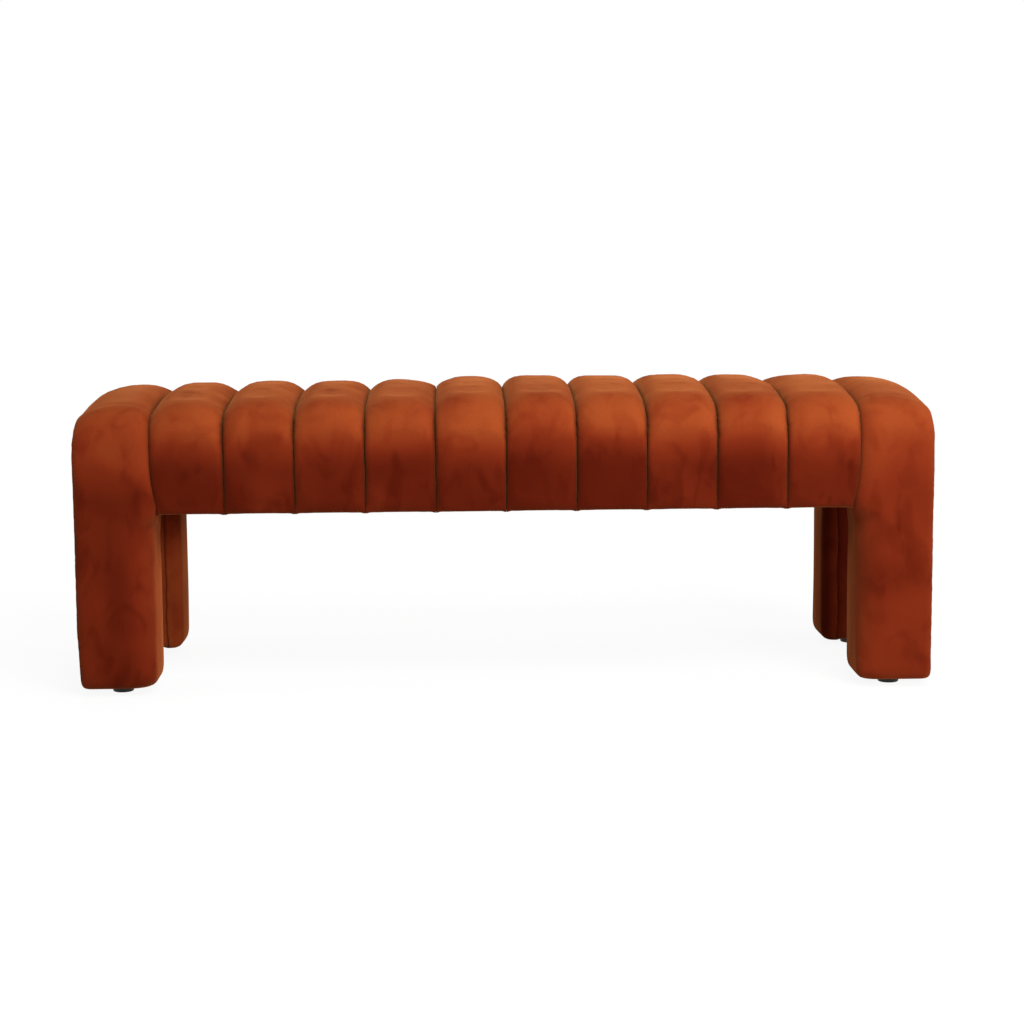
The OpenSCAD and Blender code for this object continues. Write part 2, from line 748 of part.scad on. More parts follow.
module glide() {
    foot_r = glide_foot_d / 2;
    edge = [for (k = [0:corner_steps]) let (a = -90 + 90 * k / corner_steps)
        [foot_r - glide_edge_r + glide_edge_r * cos(a), glide_edge_r + glide_edge_r * sin(a)]];
    color(black) glide_place() difference() {
        rotate_extrude() polygon(concat([[0, 0]], edge, [[glide_top_d / 2, glide_h - gap],
            [glide_top_d / 2, foot_z - glue], [0, foot_z - glue]]));
        translate([0, 0, -over]) cylinder(d = recess_d, h = recess_h + over);
        cylinder(r = glide_screw_d / 2 + hole_gap, h = foot_z + over);
    }
}

module rear_glide() {
    mirror([0, 1, 0]) glide();
}

module glide_screws() {
    color(zinc) front_and_rear() both_ends() glide_place() glide_screw(0);
}

// Dust cover under the seat box and the staples that hold it
dust_x = rail_half - dust_inset;
dust_y = wood_y - dust_inset;
dust_top = under_h - gap;

module dust_cover() {
    color(black) block([-dust_x, -dust_y, dust_top - dust_t], [dust_x, dust_y, dust_top]);
}

// Staple along X at a point of the dust cover's lower face
module staple() {
    x = staple_w / 2;
    y = staple_wire / 2;
    color(zinc) {
        block([-x, -y, -staple_wire_t], [x, y, 0]);
        for (leg_x = [-x, x - staple_wire_t])
            block([leg_x, -y, -staple_wire_t], [leg_x + staple_wire_t, y, staple_l]);
    }
}

module dust_cover_staples() {
    x = dust_x - staple_inset;
    y = dust_y - staple_inset;
    translate([0, 0, dust_top - dust_t]) for (s = [-1, 1]) {
        for (k = [0:staples_long - 1])
            translate([mix(-x, x, (k + 1 / 2) / staples_long), s * y, 0]) staple();
        for (k = [0:staples_short - 1])
            translate([s * x, mix(-y, y, (k + 1 / 2) / staples_short), 0]) rotate([0, 0, 90]) staple();
    }
}

front_rail();
rear_rail();
left_side() end_rail();  // left_end_rail
right_side() end_rail();  // right_end_rail
cross_rails();
corner_blocks();
rail_dowels();
seat_deck();
deck_screws();
left_side() outer_cheek();  // left_outer_cheek
left_side() inner_cheek();  // left_inner_cheek
right_side() outer_cheek();  // right_outer_cheek
right_side() inner_cheek();  // right_inner_cheek
left_side() top_board();  // left_top_board
right_side() top_board();  // right_top_board
left_side() arch_board();  // left_arch_board
right_side() arch_board();  // right_arch_board
left_side() leg_boards();  // left_front_leg_boards
left_side() rear_leg_boards();  // left_rear_leg_boards
right_side() leg_boards();  // right_front_leg_boards
right_side() rear_leg_boards();  // right_rear_leg_boards
foot_blocks();
cheek_screws();
connector_bolts();
bolt_washers();
tee_nuts();
left_side() glide();  // left_front_glide
left_side() rear_glide();  // left_rear_glide
right_side() glide();  // right_front_glide
right_side() rear_glide();  // right_rear_glide
glide_screws();
seat_foam();
channel_foam();
left_side() arch_foam();  // left_arch_foam
right_side() arch_foam();  // right_arch_foam
left_side() outer_foam();  // left_outer_foam
right_side() outer_foam();  // right_outer_foam
left_side() lining_foam();  // left_lining_foam
right_side() lining_foam();  // right_lining_foam
left_side() inner_foam();  // left_inner_foam
right_side() inner_foam();  // right_inner_foam
for (i = [1:channel_count]) channel_cover(i - 1);
left_side() arch_cover();  // left_arch_cover
right_side() arch_cover();  // right_arch_cover
left_side() outer_cover();  // left_outer_cover
right_side() outer_cover();  // right_outer_cover
left_side() arch_lining();  // left_arch_lining
right_side() arch_lining();  // right_arch_lining
dust_cover();
dust_cover_staples();
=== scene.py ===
"""Looks of the bedroom bench: velvet, seams, cloth, wood, metal, light and camera. Lengths are in metres."""
import json
import math

import bpy
import numpy as np
from mathutils import Matrix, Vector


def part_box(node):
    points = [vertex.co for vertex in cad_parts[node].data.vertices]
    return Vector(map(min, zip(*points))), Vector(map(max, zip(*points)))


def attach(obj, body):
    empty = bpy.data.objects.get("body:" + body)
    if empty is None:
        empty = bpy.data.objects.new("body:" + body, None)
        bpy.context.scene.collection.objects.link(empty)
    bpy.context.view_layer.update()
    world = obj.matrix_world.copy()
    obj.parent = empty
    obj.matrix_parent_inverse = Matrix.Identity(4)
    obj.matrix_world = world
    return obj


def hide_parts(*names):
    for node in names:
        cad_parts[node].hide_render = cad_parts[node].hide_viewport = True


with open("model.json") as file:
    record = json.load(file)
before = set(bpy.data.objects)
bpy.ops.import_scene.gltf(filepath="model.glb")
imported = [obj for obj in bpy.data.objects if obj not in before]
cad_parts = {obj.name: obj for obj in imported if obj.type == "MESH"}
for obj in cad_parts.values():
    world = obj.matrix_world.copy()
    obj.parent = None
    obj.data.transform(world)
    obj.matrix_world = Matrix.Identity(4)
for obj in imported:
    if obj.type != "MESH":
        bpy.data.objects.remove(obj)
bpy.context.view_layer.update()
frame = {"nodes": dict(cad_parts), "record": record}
MM = 0.001

# Sizes of the bench
HALF_W = 650 * MM
HALF_D = 225 * MM
CHANNELS = 10
END_W = 115 * MM
LEG_W = 112 * MM
LEG_D = 112 * MM
UNDER = 279 * MM
GLIDE_H = 14 * MM
ARCH_Y = HALF_D - LEG_D
ARCH_R = 12 * MM
SEAT_HALF = HALF_W - END_W
PITCH = 2 * SEAT_HALF / CHANNELS
# Thickness of the velvet, and half of the slit at a seam
CLOTH_T = 1.8 * MM
SEAM_GAP = 0.15 * MM

# Turn round the seat foam's front edge and the arched top: their centres and radii, the padding over them, and
# the angle in degrees at which one passes into the other
EDGE_Y = -167 * MM
EDGE_Z = 387.43 * MM
EDGE_R = 36.3 * MM
PAD_FRONT = 21.7 * MM
PAD_TOP = 29.7 * MM
TILT = 9.97
TOP_Z = -562 * MM
TOP_R = 1030 * MM
TOP_BASE_R = 997.3 * MM
BASE_DROP = 3 * MM
# Height of a channel's crown over its seams
CROWN_FRONT = 12 * MM
CROWN_TOP = 20 * MM


def mix(a, b, t):
    """Value at share t of the way from a to b"""
    return a + (b - a) * t


def smooth(t):
    """Soft step from 0 to 1"""
    t = np.clip(t, 0, 1)
    return t * t * (3 - 2 * t)


def ramp(x, low, high):
    """Soft step from 0 at low to 1 at high"""
    return smooth((np.asarray(x, float) - low) / (high - low))


# Knots after which noise along a line, and over a surface, comes round again
LINE_KNOTS = 256
FACE_KNOTS = 64


def noise_1d(x, seed):
    """Smooth noise from -1 to 1 with one knot per unit of x"""
    table = np.random.default_rng(seed).uniform(-1, 1, LINE_KNOTS)
    cell = np.floor(x).astype(int)
    part = smooth(x - cell)
    return mix(table[cell % LINE_KNOTS], table[(cell + 1) % LINE_KNOTS], part)


def noise_2d(x, y, seed):
    """Smooth noise from -1 to 1 with one knot per unit of x and y"""
    table = np.random.default_rng(seed).uniform(-1, 1, (FACE_KNOTS, FACE_KNOTS))
    cx = np.floor(x).astype(int)
    cy = np.floor(y).astype(int)
    px = smooth(x - cx)
    py = smooth(y - cy)
    x0, x1 = cx % FACE_KNOTS, (cx + 1) % FACE_KNOTS
    y0, y1 = cy % FACE_KNOTS, (cy + 1) % FACE_KNOTS
    return mix(mix(table[x0, y0], table[x1, y0], px), mix(table[x0, y1], table[x1, y1], px), py)


def along(line):
    """Length of a line up to each of its points"""
    return np.concatenate([[0], np.cumsum(np.linalg.norm(np.diff(line, axis=0), axis=1))])


def spline(t, values):
    """Natural cubic spline through values at the parameters t, as a function"""
    count = len(t)
    h = np.diff(t)
    a = np.eye(count)
    b = np.zeros_like(values)
    for i in range(1, count - 1):
        a[i, i - 1:i + 2] = [h[i - 1], 2 * (h[i - 1] + h[i]), h[i]]
        b[i] = 6 * ((values[i + 1] - values[i]) / h[i] - (values[i] - values[i - 1]) / h[i - 1])
    m = np.linalg.solve(a, b)

    def at(x):
        i = np.clip(np.searchsorted(t, x) - 1, 0, count - 2)
        d = (x - t[i])[:, None]
        e = (t[i + 1] - x)[:, None]
        w = h[i][:, None]
        bend = (m[i] * e ** 3 + m[i + 1] * d ** 3) / (6 * w)
        return bend + (values[i] / w - m[i] * w / 6) * e + (values[i + 1] / w - m[i + 1] * w / 6) * d
    return at


# Points on a path before it is cut into even rows, and the reach over which its direction is taken
FINE_POINTS = 4000
NEAR = 0.2 * MM


class Path:
    """Line across the seat in y and z with its outward normals and the values that go with each row"""

    def __init__(self, controls, step):
        table = np.array(controls, float) * MM
        points = table[:, :2]
        t = along(points)
        curve = spline(t, points)
        fine = np.linspace(0, t[-1], FINE_POINTS)
        length = along(curve(fine))
        rows = int(round(length[-1] / step))
        where = np.interp(np.linspace(0, length[-1], rows + 1), length, fine)
        self.p = curve(where)
        ahead = curve(np.minimum(where + NEAR, t[-1]))
        behind = curve(np.maximum(where - NEAR, 0))
        tangent = ahead - behind
        tangent /= np.linalg.norm(tangent, axis=1)[:, None]
        self.n = np.stack([-tangent[:, 1], tangent[:, 0]], axis=1)
        self.s = np.linspace(0, length[-1], rows + 1)
        self.extra = [np.interp(where, t, table[:, k] / MM) for k in range(2, table.shape[1])]


def mirrored(rows):
    """Rows of the front half followed by the rear half"""
    return np.concatenate([rows[:-1], rows[::-1]])


def turn_controls(with_base):
    """Control points from the front face's top over the edge to the middle of the seat, in millimetres: y, z,
    crown, share on the seat, and the y and z of the base if asked for"""
    rows = []
    # Round the edge, in steps of ten degrees
    for angle in range(180, 100, -10):
        share = (180 - angle) / (90 - TILT)
        r = EDGE_R + mix(PAD_FRONT, PAD_TOP, share)
        c, s = math.cos(math.radians(angle)), math.sin(math.radians(angle))
        row = [EDGE_Y + r * c, EDGE_Z + r * s, mix(CROWN_FRONT, CROWN_TOP, share), share * MM]
        base = EDGE_R - BASE_DROP * share
        rows.append(row + [EDGE_Y + base * c, EDGE_Z + base * s] if with_base else row)
    # Over the arched top, in five steps
    for k in range(6):
        angle = math.radians(90 + TILT * (1 - k / 5))
        c, s = math.cos(angle), math.sin(angle)
        row = [TOP_R * c, TOP_Z + TOP_R * s, CROWN_TOP, MM]
        rows.append(row + [TOP_BASE_R * c, TOP_Z + TOP_BASE_R * s] if with_base else row)
    return [[v / MM for v in row] for row in rows]


# Front half of a channel below its turn: y, height over the underside, crown, share on the seat, base y and
# height, in millimetres. The base runs along the rail's underside and up its face at RAIL_Y.
RAIL_Y = -203.3
CHANNEL_LOW = [
    [-175.5, 0.1, 0.0, 0, -175.5, 2.2],
    [-189.0, 0.0, 0.0, 0, -189.0, 2.2],
    [-199.5, -0.8, 0.4, 0, -199.0, 2.2],
    [-207.3, -1.0, 1.6, 0, -202.6, 3.0],
    [-213.2, 1.4, 3.6, 0, RAIL_Y, 6.0],
    [-217.2, 6.4, 6.0, 0, RAIL_Y, 10.0],
    [-219.9, 14.0, 8.2, 0, RAIL_Y, 16.0],
    [-222.0, 25.0, 10.2, 0, RAIL_Y, 26.0],
    [-223.6, 42.0, 11.6, 0, RAIL_Y, 42.0],
    [-224.6, 62.0, 12.0, 0, RAIL_Y, 62.0],
    [-225.0, 86.0, 12.0, 0, RAIL_Y, 86.0],
]
CHANNEL_FRONT = [[y, z + UNDER / MM, crown, share, base_y, base_z + UNDER / MM]
                 for y, z, crown, share, base_y, base_z in CHANNEL_LOW]


def grid_of(x, y, z):
    """Grid of points from arrays that fit together"""
    return np.stack(np.broadcast_arrays(x, y, z), axis=2)


def new_mesh(name, points, faces, attributes=None):
    """Smooth object with a number for each point under each attribute's name"""
    mesh = bpy.data.meshes.new(name)
    mesh.from_pydata([tuple(p) for p in points], [], faces)
    mesh.update()
    for key, values in (attributes or {}).items():
        layer = mesh.attributes.new(key, "FLOAT", "POINT")
        layer.data.foreach_set("value", np.asarray(values, np.float32))
    mesh.polygons.foreach_set("use_smooth", [True] * len(mesh.polygons))
    obj = bpy.data.objects.new(name, mesh)
    bpy.context.scene.collection.objects.link(obj)
    return obj


def grid_faces(rows, cols, first=0, flip=False):
    """Faces of a grid whose points start at number first"""
    faces = []
    for i in range(rows - 1):
        for j in range(cols - 1):
            a = first + i * cols + j
            quad = [a, a + cols, a + cols + 1, a + 1]
            faces.append(quad[::-1] if flip else quad)
    return faces


def closed_faces(rows, cols):
    """Faces of a solid between an outer grid and an inner grid of the same size"""
    second = rows * cols
    faces = grid_faces(rows, cols) + grid_faces(rows, cols, second, True)
    rim = [(i, 0) for i in range(rows - 1, 0, -1)] + [(0, j) for j in range(cols - 1)]
    rim += [(i, cols - 1) for i in range(rows - 1)] + [(rows - 1, j) for j in range(cols - 1, 0, -1)]
    ids = [i * cols + j for i, j in rim]
    for k, a in enumerate(ids):
        b = ids[(k + 1) % len(ids)]
        faces.append([a, b, b + second, a + second])
    return faces


def modify(obj, kind, **settings):
    modifier = obj.modifiers.new(kind.lower(), kind)
    for key, value in settings.items():
        setattr(modifier, key, value)
    return modifier


def apply_modifiers(obj):
    bpy.context.view_layer.update()
    graph = bpy.context.evaluated_depsgraph_get()
    mesh = bpy.data.meshes.new_from_object(obj.evaluated_get(graph), depsgraph=graph)
    obj.modifiers.clear()
    obj.data = mesh


# Materials
class Nodes:
    """Nodes of a material or of the world"""

    def __init__(self, owner, shader="Principled BSDF"):
        self.owner = owner
        owner.use_nodes = True
        self.tree = owner.node_tree
        self.shader = self.tree.nodes[shader]

    def add(self, kind, inputs=None, **settings):
        node = self.tree.nodes.new(kind)
        for key, value in settings.items():
            setattr(node, key, value)
        for key, value in (inputs or {}).items():
            self.feed(node.inputs[key], value)
        return node

    def feed(self, socket, value):
        """Links a socket or sets its value"""
        if isinstance(value, bpy.types.NodeSocket):
            self.tree.links.new(value, socket)
        else:
            socket.default_value = value

    def shade(self, values):
        """Sets or links the shader's own inputs"""
        for key, value in values.items():
            self.feed(self.shader.inputs[key], value)

    def maths(self, operation, a, b=0.0, clamp=False):
        node = self.add("ShaderNodeMath", operation=operation, use_clamp=clamp)
        self.feed(node.inputs[0], a)
        self.feed(node.inputs[1], b)
        return node.outputs[0]

    def place(self, scale=(1, 1, 1), shift=None):
        """Position on the object, stretched by scale and moved by a value"""
        coordinates = self.add("ShaderNodeTexCoord").outputs["Object"]
        mapping = self.add("ShaderNodeMapping", {"Vector": coordinates, "Scale": scale})
        if shift is None:
            return mapping.outputs[0]
        move = self.add("ShaderNodeCombineXYZ", {"X": shift, "Y": shift, "Z": shift})
        add = self.add("ShaderNodeVectorMath", operation="ADD")
        self.feed(add.inputs[0], mapping.outputs[0])
        self.feed(add.inputs[1], move.outputs[0])
        return add.outputs[0]

    def noise(self, vector, scale, detail=2.0, roughness=0.5, distortion=0.0):
        node = self.add("ShaderNodeTexNoise", {"Vector": vector, "Scale": scale, "Detail": detail,
                                               "Roughness": roughness, "Distortion": distortion})
        return node.outputs["Fac"]

    def value_of(self, attribute):
        """A number kept on the mesh"""
        return self.add("ShaderNodeAttribute", attribute_name=attribute).outputs["Fac"]

    def seen(self):
        """One where a surface is seen, straight, mirrored or through glass, and zero where it lights others"""
        rays = self.add("ShaderNodeLightPath").outputs
        others = self.maths("MAXIMUM", rays["Is Glossy Ray"], rays["Is Transmission Ray"])
        return self.maths("MAXIMUM", rays["Is Camera Ray"], others)

    def step(self, value, low, high, to_low=0.0, to_high=1.0):
        node = self.add("ShaderNodeMapRange", {"Value": value, "From Min": low, "From Max": high,
                                               "To Min": to_low, "To Max": to_high},
                        interpolation_type="SMOOTHSTEP")
        return node.outputs["Result"]

    def blend(self, factor, a, b, kind="MIX"):
        node = self.add("ShaderNodeMix", data_type="RGBA", blend_type=kind)
        self.feed(node.inputs[0], factor)
        self.feed(node.inputs[6], a)
        self.feed(node.inputs[7], b)
        return node.outputs[2]

    def bump(self, height, strength, distance, normal=None):
        node = self.add("ShaderNodeBump", {"Height": height, "Strength": strength, "Distance": distance})
        if normal is not None:
            self.feed(node.inputs["Normal"], normal)
        return node.outputs[0]


def new_material(name):
    return Nodes(bpy.data.materials.new(name))


# Colours of the velvet: lit, half-shaded and shaded tones of one velvet, painted light and shade that the lay
# of the pile also shifts, then between the hairs of the pile, painted shade in a seam, and of its sheen
VELVET_LIGHT = (0.265, 0.052, 0.0125, 1)
VELVET_MIDDLE = (0.165, 0.0195, 0.0056, 1)
VELVET_DARK = (0.06, 0.0048, 0.0017, 1)
VELVET_PILE = (0.08, 0.007, 0.0025, 1)
VELVET_SEAM_SHADE = (0.02, 0.0016, 0.0006, 1)
VELVET_SHEEN = (1.0, 0.38, 0.13, 1)
# Two tones of each of the others, and the layers on the plywood's edges
PINE = (0.72, 0.5, 0.27, 1), (0.5, 0.3, 0.12, 1)
BEECH = (0.6, 0.37, 0.2, 1), (0.42, 0.23, 0.11, 1)
PLYWOOD = (0.61, 0.42, 0.24, 1), (0.48, 0.3, 0.15, 1)
PLYWOOD_LAYER = (0.33, 0.19, 0.09, 1)
YELLOW_FOAM = (0.83, 0.72, 0.4, 1), (0.66, 0.52, 0.22, 1)
WHITE_FOAM = (0.86, 0.84, 0.78, 1), (0.66, 0.62, 0.52, 1)
ZINC = (0.5, 0.51, 0.54, 1), (0.66, 0.66, 0.68, 1)
GLIDE = (0.006, 0.006, 0.0065, 1), (0.02, 0.019, 0.019, 1)
CAMBRIC = (0.012, 0.012, 0.013, 1), (0.035, 0.035, 0.037, 1)
FLOOR = (0.55, 0.54, 0.53, 1), (0.95, 0.95, 0.95, 1)
WHITE = (1, 1, 1, 1)


def velvet_material():
    """Velvet with painted shade and pile lay, and painted seam shade, from mesh numbers, shifted strip to
    strip
    """
    n = new_material("rust_velvet")
    strip = n.value_of("strip")
    here = n.place(shift=strip)
    wide = n.noise(here, 6.0, 2.0, 0.45, 0.5)
    hand = n.noise(n.place((1.5, 1.5, 1.0), strip), 13.0, 2.0, 0.5, 0.8)
    stroke = n.noise(n.place((1.6, 1.0, 0.8), strip), 22.0, 1.5, 0.4, 0.7)
    pile = n.noise(here, 900.0, 2.0, 0.6)
    # Painted light and shade with the lay of the pile, soft areas and brushed marks
    painted_shade_and_patches = n.maths("MULTIPLY", n.value_of("lay_and_painted_shade"), 0.86)
    painted_shade_and_patches = n.maths("ADD", painted_shade_and_patches, n.step(wide, 0.3, 0.7, -0.12, 0.16))
    painted_shade_and_patches = n.maths("ADD", painted_shade_and_patches, n.step(hand, 0.5, 0.72, -0.03, 0.13))
    painted_shade_and_patches = n.maths("ADD", painted_shade_and_patches, n.step(stroke, 0.54, 0.68, 0.0, 0.08), clamp=True)
    upper = n.blend(n.step(painted_shade_and_patches, -0.2, 0.6), VELVET_LIGHT, VELVET_MIDDLE)
    colour = n.blend(n.step(painted_shade_and_patches, 0.3, 1.1), upper, VELVET_DARK)
    colour = n.blend(n.step(pile, 0.3, 0.75, 0.0, 0.25), colour, VELVET_PILE)
    # Painted shade in the seams
    colour = n.blend(n.maths("MULTIPLY", n.value_of("painted_seam_shade"), 0.88), colour, VELVET_SEAM_SHADE)
    soft = n.bump(hand, 0.15, 2 * MM)
    n.shade({"Base Color": colour, "Roughness": n.step(hand, 0.3, 0.7, 0.78, 0.92), "Specular IOR Level": 0.0,
             "Sheen Weight": 0.24, "Sheen Roughness": 0.45, "Sheen Tint": VELVET_SHEEN,
             "Normal": n.bump(pile, 0.25, 0.4 * MM, soft)})
    return n.owner


def wood_material(name, light, dark, axis, ring_scale):
    """Grain drawn out along one axis, with growth rings and pores"""
    n = new_material(name)
    stretch = [1.0, 1.0, 1.0]
    stretch[axis] = 0.06
    here = n.place(tuple(stretch))
    wave = n.noise(here, ring_scale, 4.0, 0.6, 1.2)
    rings = n.add("ShaderNodeTexWave", {"Vector": here, "Scale": ring_scale * 0.6, "Distortion": 5.0,
                                        "Detail": 3.0}).outputs["Fac"]
    pores = n.noise(here, 420.0, 2.0, 0.5)
    colour = n.blend(n.maths("MULTIPLY", rings, 0.55), light, dark)
    colour = n.blend(n.step(wave, 0.45, 0.7, 0.0, 0.5), colour, dark)
    pore_colour = tuple(0.5 * c for c in dark[:3]) + (1,)
    colour = n.blend(n.step(pores, 0.56, 0.72, 0.0, 0.35), colour, pore_colour)
    n.shade({"Base Color": colour, "Roughness": n.step(pores, 0.3, 0.7, 0.55, 0.75),
             "Normal": n.bump(pores, 0.3, 0.4 * MM)})
    return n.owner


# Radians per metre of the plywood's layers, a pair of veneers every 2.4 mm
VENEERS = 2600.0


def plywood_material():
    """Veneer faces with layers that show on the edges"""
    n = new_material("birch_plywood")
    coordinates = n.add("ShaderNodeTexCoord").outputs["Object"]
    split = n.add("ShaderNodeSeparateXYZ", {"Vector": coordinates}).outputs
    layers = n.maths("SINE", n.maths("MULTIPLY", n.maths("ADD", split["X"], split["Z"]), VENEERS))
    grain = n.noise(n.place((1.0, 0.07, 0.3)), 90.0, 4.0, 0.6, 0.8)
    colour = n.blend(n.step(grain, 0.4, 0.65), *PLYWOOD)
    colour = n.blend(n.step(layers, 0.2, 0.9, 0.0, 0.3), colour, PLYWOOD_LAYER)
    n.shade({"Base Color": colour, "Roughness": n.step(grain, 0.3, 0.7, 0.6, 0.78),
             "Normal": n.bump(grain, 0.2, 0.3 * MM)})
    return n.owner


def foam_material(name, light, dark):
    """Cut foam with open cells and a little yellowing"""
    n = new_material(name)
    cells = n.add("ShaderNodeTexVoronoi", {"Vector": n.place(), "Scale": 700.0}).outputs["Distance"]
    stain = n.noise(n.place(), 12.0, 3.0, 0.5)
    colour = n.blend(n.step(stain, 0.4, 0.7, 0.0, 0.5), light, dark)
    colour = n.blend(n.step(cells, 0.0, 0.45, 0.35, 0.0), colour, dark)
    n.shade({"Base Color": colour, "Roughness": n.step(cells, 0.0, 0.6, 0.95, 0.85),
             "Normal": n.bump(cells, 0.4, 0.6 * MM)})
    return n.owner


def zinc_material():
    """Bright plated steel with a faint spangle"""
    n = new_material("zinc_plated_steel")
    spangle = n.add("ShaderNodeTexVoronoi", {"Vector": n.place(), "Scale": 450.0}).outputs["Color"]
    tone = n.noise(n.place(), 240.0, 3.0, 0.6)
    colour = n.blend(0.12, n.blend(tone, *ZINC), spangle, "SOFT_LIGHT")
    n.shade({"Base Color": colour, "Metallic": 1.0, "Roughness": n.step(tone, 0.3, 0.7, 0.28, 0.45),
             "Normal": n.bump(tone, 0.1, 0.1 * MM)})
    return n.owner


def glide_material():
    """Black moulded plastic with a fine grain and scuffs"""
    n = new_material("black_glide_plastic")
    grain = n.noise(n.place(), 1600.0, 2.0, 0.5)
    scuff = n.noise(n.place((1, 1, 5)), 60.0, 3.0, 0.6, 0.6)
    colour = n.blend(n.step(scuff, 0.5, 0.75, 0.0, 0.6), *GLIDE)
    n.shade({"Base Color": colour, "Roughness": n.step(scuff, 0.35, 0.7, 0.42, 0.62),
             "Specular IOR Level": 0.25, "Normal": n.bump(grain, 0.25, 0.2 * MM)})
    return n.owner


def cambric_material():
    """Black non-woven cloth with its pressed dots"""
    n = new_material("black_dust_cloth")
    here = n.place((1, 1, 0.1))
    dots = n.add("ShaderNodeTexVoronoi", {"Vector": here, "Scale": 650.0, "Randomness": 0.15})
    fibre = n.noise(here, 320.0, 4.0, 0.7, 1.5)
    colour = n.blend(n.step(fibre, 0.35, 0.7), *CAMBRIC)
    n.shade({"Base Color": colour, "Roughness": n.step(fibre, 0.3, 0.7, 0.8, 0.95),
             "Normal": n.bump(dots.outputs["Distance"], 0.5, 0.3 * MM)})
    return n.owner


BY_SLOT = {
    "velvet": velvet_material(),
    "pine": wood_material("planed_pine", *PINE, axis=0, ring_scale=70.0),
    "beech": wood_material("beech_dowel", *BEECH, axis=1, ring_scale=160.0),
    "plywood": plywood_material(),
    "foam_yellow": foam_material("yellow_foam", *YELLOW_FOAM),
    "foam_white": foam_material("white_foam", *WHITE_FOAM),
    "zinc": zinc_material(),
    "glide": glide_material(),
    "cambric": cambric_material(),
}


def paint(obj, material):
    obj.data.materials.clear()
    obj.data.materials.append(material)


for part in frame["record"]["subparts"]:
    paint(frame["nodes"][part["node"]], BY_SLOT[part["material_slot"]])


def finish_piece(obj, slot, *nodes):
    """Gives a new piece its material, its body and the nodes that it stands for"""
    paint(obj, BY_SLOT[slot])
    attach(obj, "root")
    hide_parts(*nodes)


# Cloth pass: its length in frames, the pressure from behind, the spare length as a share, the cloth's
# stiffness and the most that a point moves
CLOTH_FRAMES = 16
CLOTH_PRESSURE = 1.4
CLOTH_SLACK = 0.001
CLOTH_STIFFNESS = 12.0
CLOTH_REACH = 2.0 * MM


def relax(points, faces, pinned):
    """Points of a cloth that is held at its seams and filled from behind"""
    obj = new_mesh("cloth_pass", points, faces)
    group = obj.vertex_groups.new(name="held")
    group.add([int(i) for i in np.flatnonzero(pinned)], 1.0, "REPLACE")
    cloth = modify(obj, "CLOTH")
    fabric = cloth.settings
    fabric.quality = 6
    fabric.mass = 0.3
    fabric.tension_stiffness = CLOTH_STIFFNESS
    fabric.compression_stiffness = CLOTH_STIFFNESS
    fabric.shear_stiffness = 0.5 * CLOTH_STIFFNESS
    fabric.bending_stiffness = 0.6
    fabric.air_damping = 3.0
    fabric.vertex_group_mass = "held"
    fabric.shrink_min = -CLOTH_SLACK
    fabric.shrink_max = -CLOTH_SLACK
    fabric.use_pressure = True
    fabric.uniform_pressure_force = CLOTH_PRESSURE
    fabric.effector_weights.gravity = 0.0
    cloth.point_cache.frame_start = 1
    cloth.point_cache.frame_end = CLOTH_FRAMES
    for step in range(1, CLOTH_FRAMES + 1):
        bpy.context.scene.frame_set(step)
    mesh = obj.evaluated_get(bpy.context.evaluated_depsgraph_get()).to_mesh()
    moved = np.empty(len(points) * 3, np.float32)
    mesh.vertices.foreach_get("co", moved)
    obj.modifiers.clear()
    old = obj.data
    bpy.data.objects.remove(obj)
    bpy.data.meshes.remove(old)
    bpy.context.scene.frame_set(1)
    points = np.asarray(points, float)
    change = moved.reshape(-1, 3) - points
    size = np.linalg.norm(change, axis=1, keepdims=True)
    return points + change * np.minimum(1, CLOTH_REACH / np.maximum(size, 1e-9))


# Seat channels: columns of points over a shoulder, and between a channel's shoulders
SHOULDER = np.radians([0, 7, 15, 24, 34, 46, 60, 75, 90])
MIDDLE = np.linspace(0, 1, 9)[1:-1]
# Width of a shoulder, and how far the velvet rolls into a seam
SHOULDER_FRONT = 22 * MM
SHOULDER_SEAT = 40 * MM
ROLL = 5 * MM
# On the seat, from the left end: each channel's change in height and its roundness, and each seam's change in
# depth. A channel's roundness on the front is the same for all.
CROWN_CHANGE = [-4.2, -1.3, -2.1, -2.0, 1.5, 3.6, 2.6, 2.3, 0.7, -0.2]
ROUNDNESS = [0.5, 0.4, 0.38, 0.33, 0.25, 0.2, 0.16, 0.16, 0.18, 0.22]
SEAM_CHANGE = [10.6, 8.0, 6.9, 4.1, -1.1, 0.5, -0.5, 1.3, -0.6, 0.1, 3.9]
FRONT_ROUNDNESS = 0.1
# Strength of the shade along a seam on the lower front, and along the two outermost seams there
FRONT_CREASE = 0.55
END_CREASE = 0.15
# Seam between an end unit and the seat: height, and distance from the end unit's outer face, in millimetres
END_SEAM = np.array([[258, 112], [279, 120.8], [287, 119.6], [300, 116.2], [320, 112.8], [345, 110.6],
                     [370, 110.2]])


def end_seam(z):
    """Distance from an end unit's outer face to the seam beside the seat, which turns inwards at its foot"""
    return np.interp(z / MM, END_SEAM[:, 0], END_SEAM[:, 1]) * MM


def at_turn(share):
    """Nearness of a row to the turn from the front to the seat, from its share on the seat"""
    return np.exp(-((share - 0.3) / 0.4) ** 2) * (share > 0) * (share < 1)


def seam_pull(s, seed):
    """Unevenness of a sewn seam along its length, from -1 to 1"""
    return 0.6 * noise_1d(s / (9 * MM), seed) + 0.4 * noise_1d(s / (4.5 * MM), seed + 50)


def painted_seam_shade_at(distance):
    """Strength of the painted shade near a seam"""
    return np.exp(-(np.maximum(distance, 0) / (1.7 * MM)) ** 1.5)


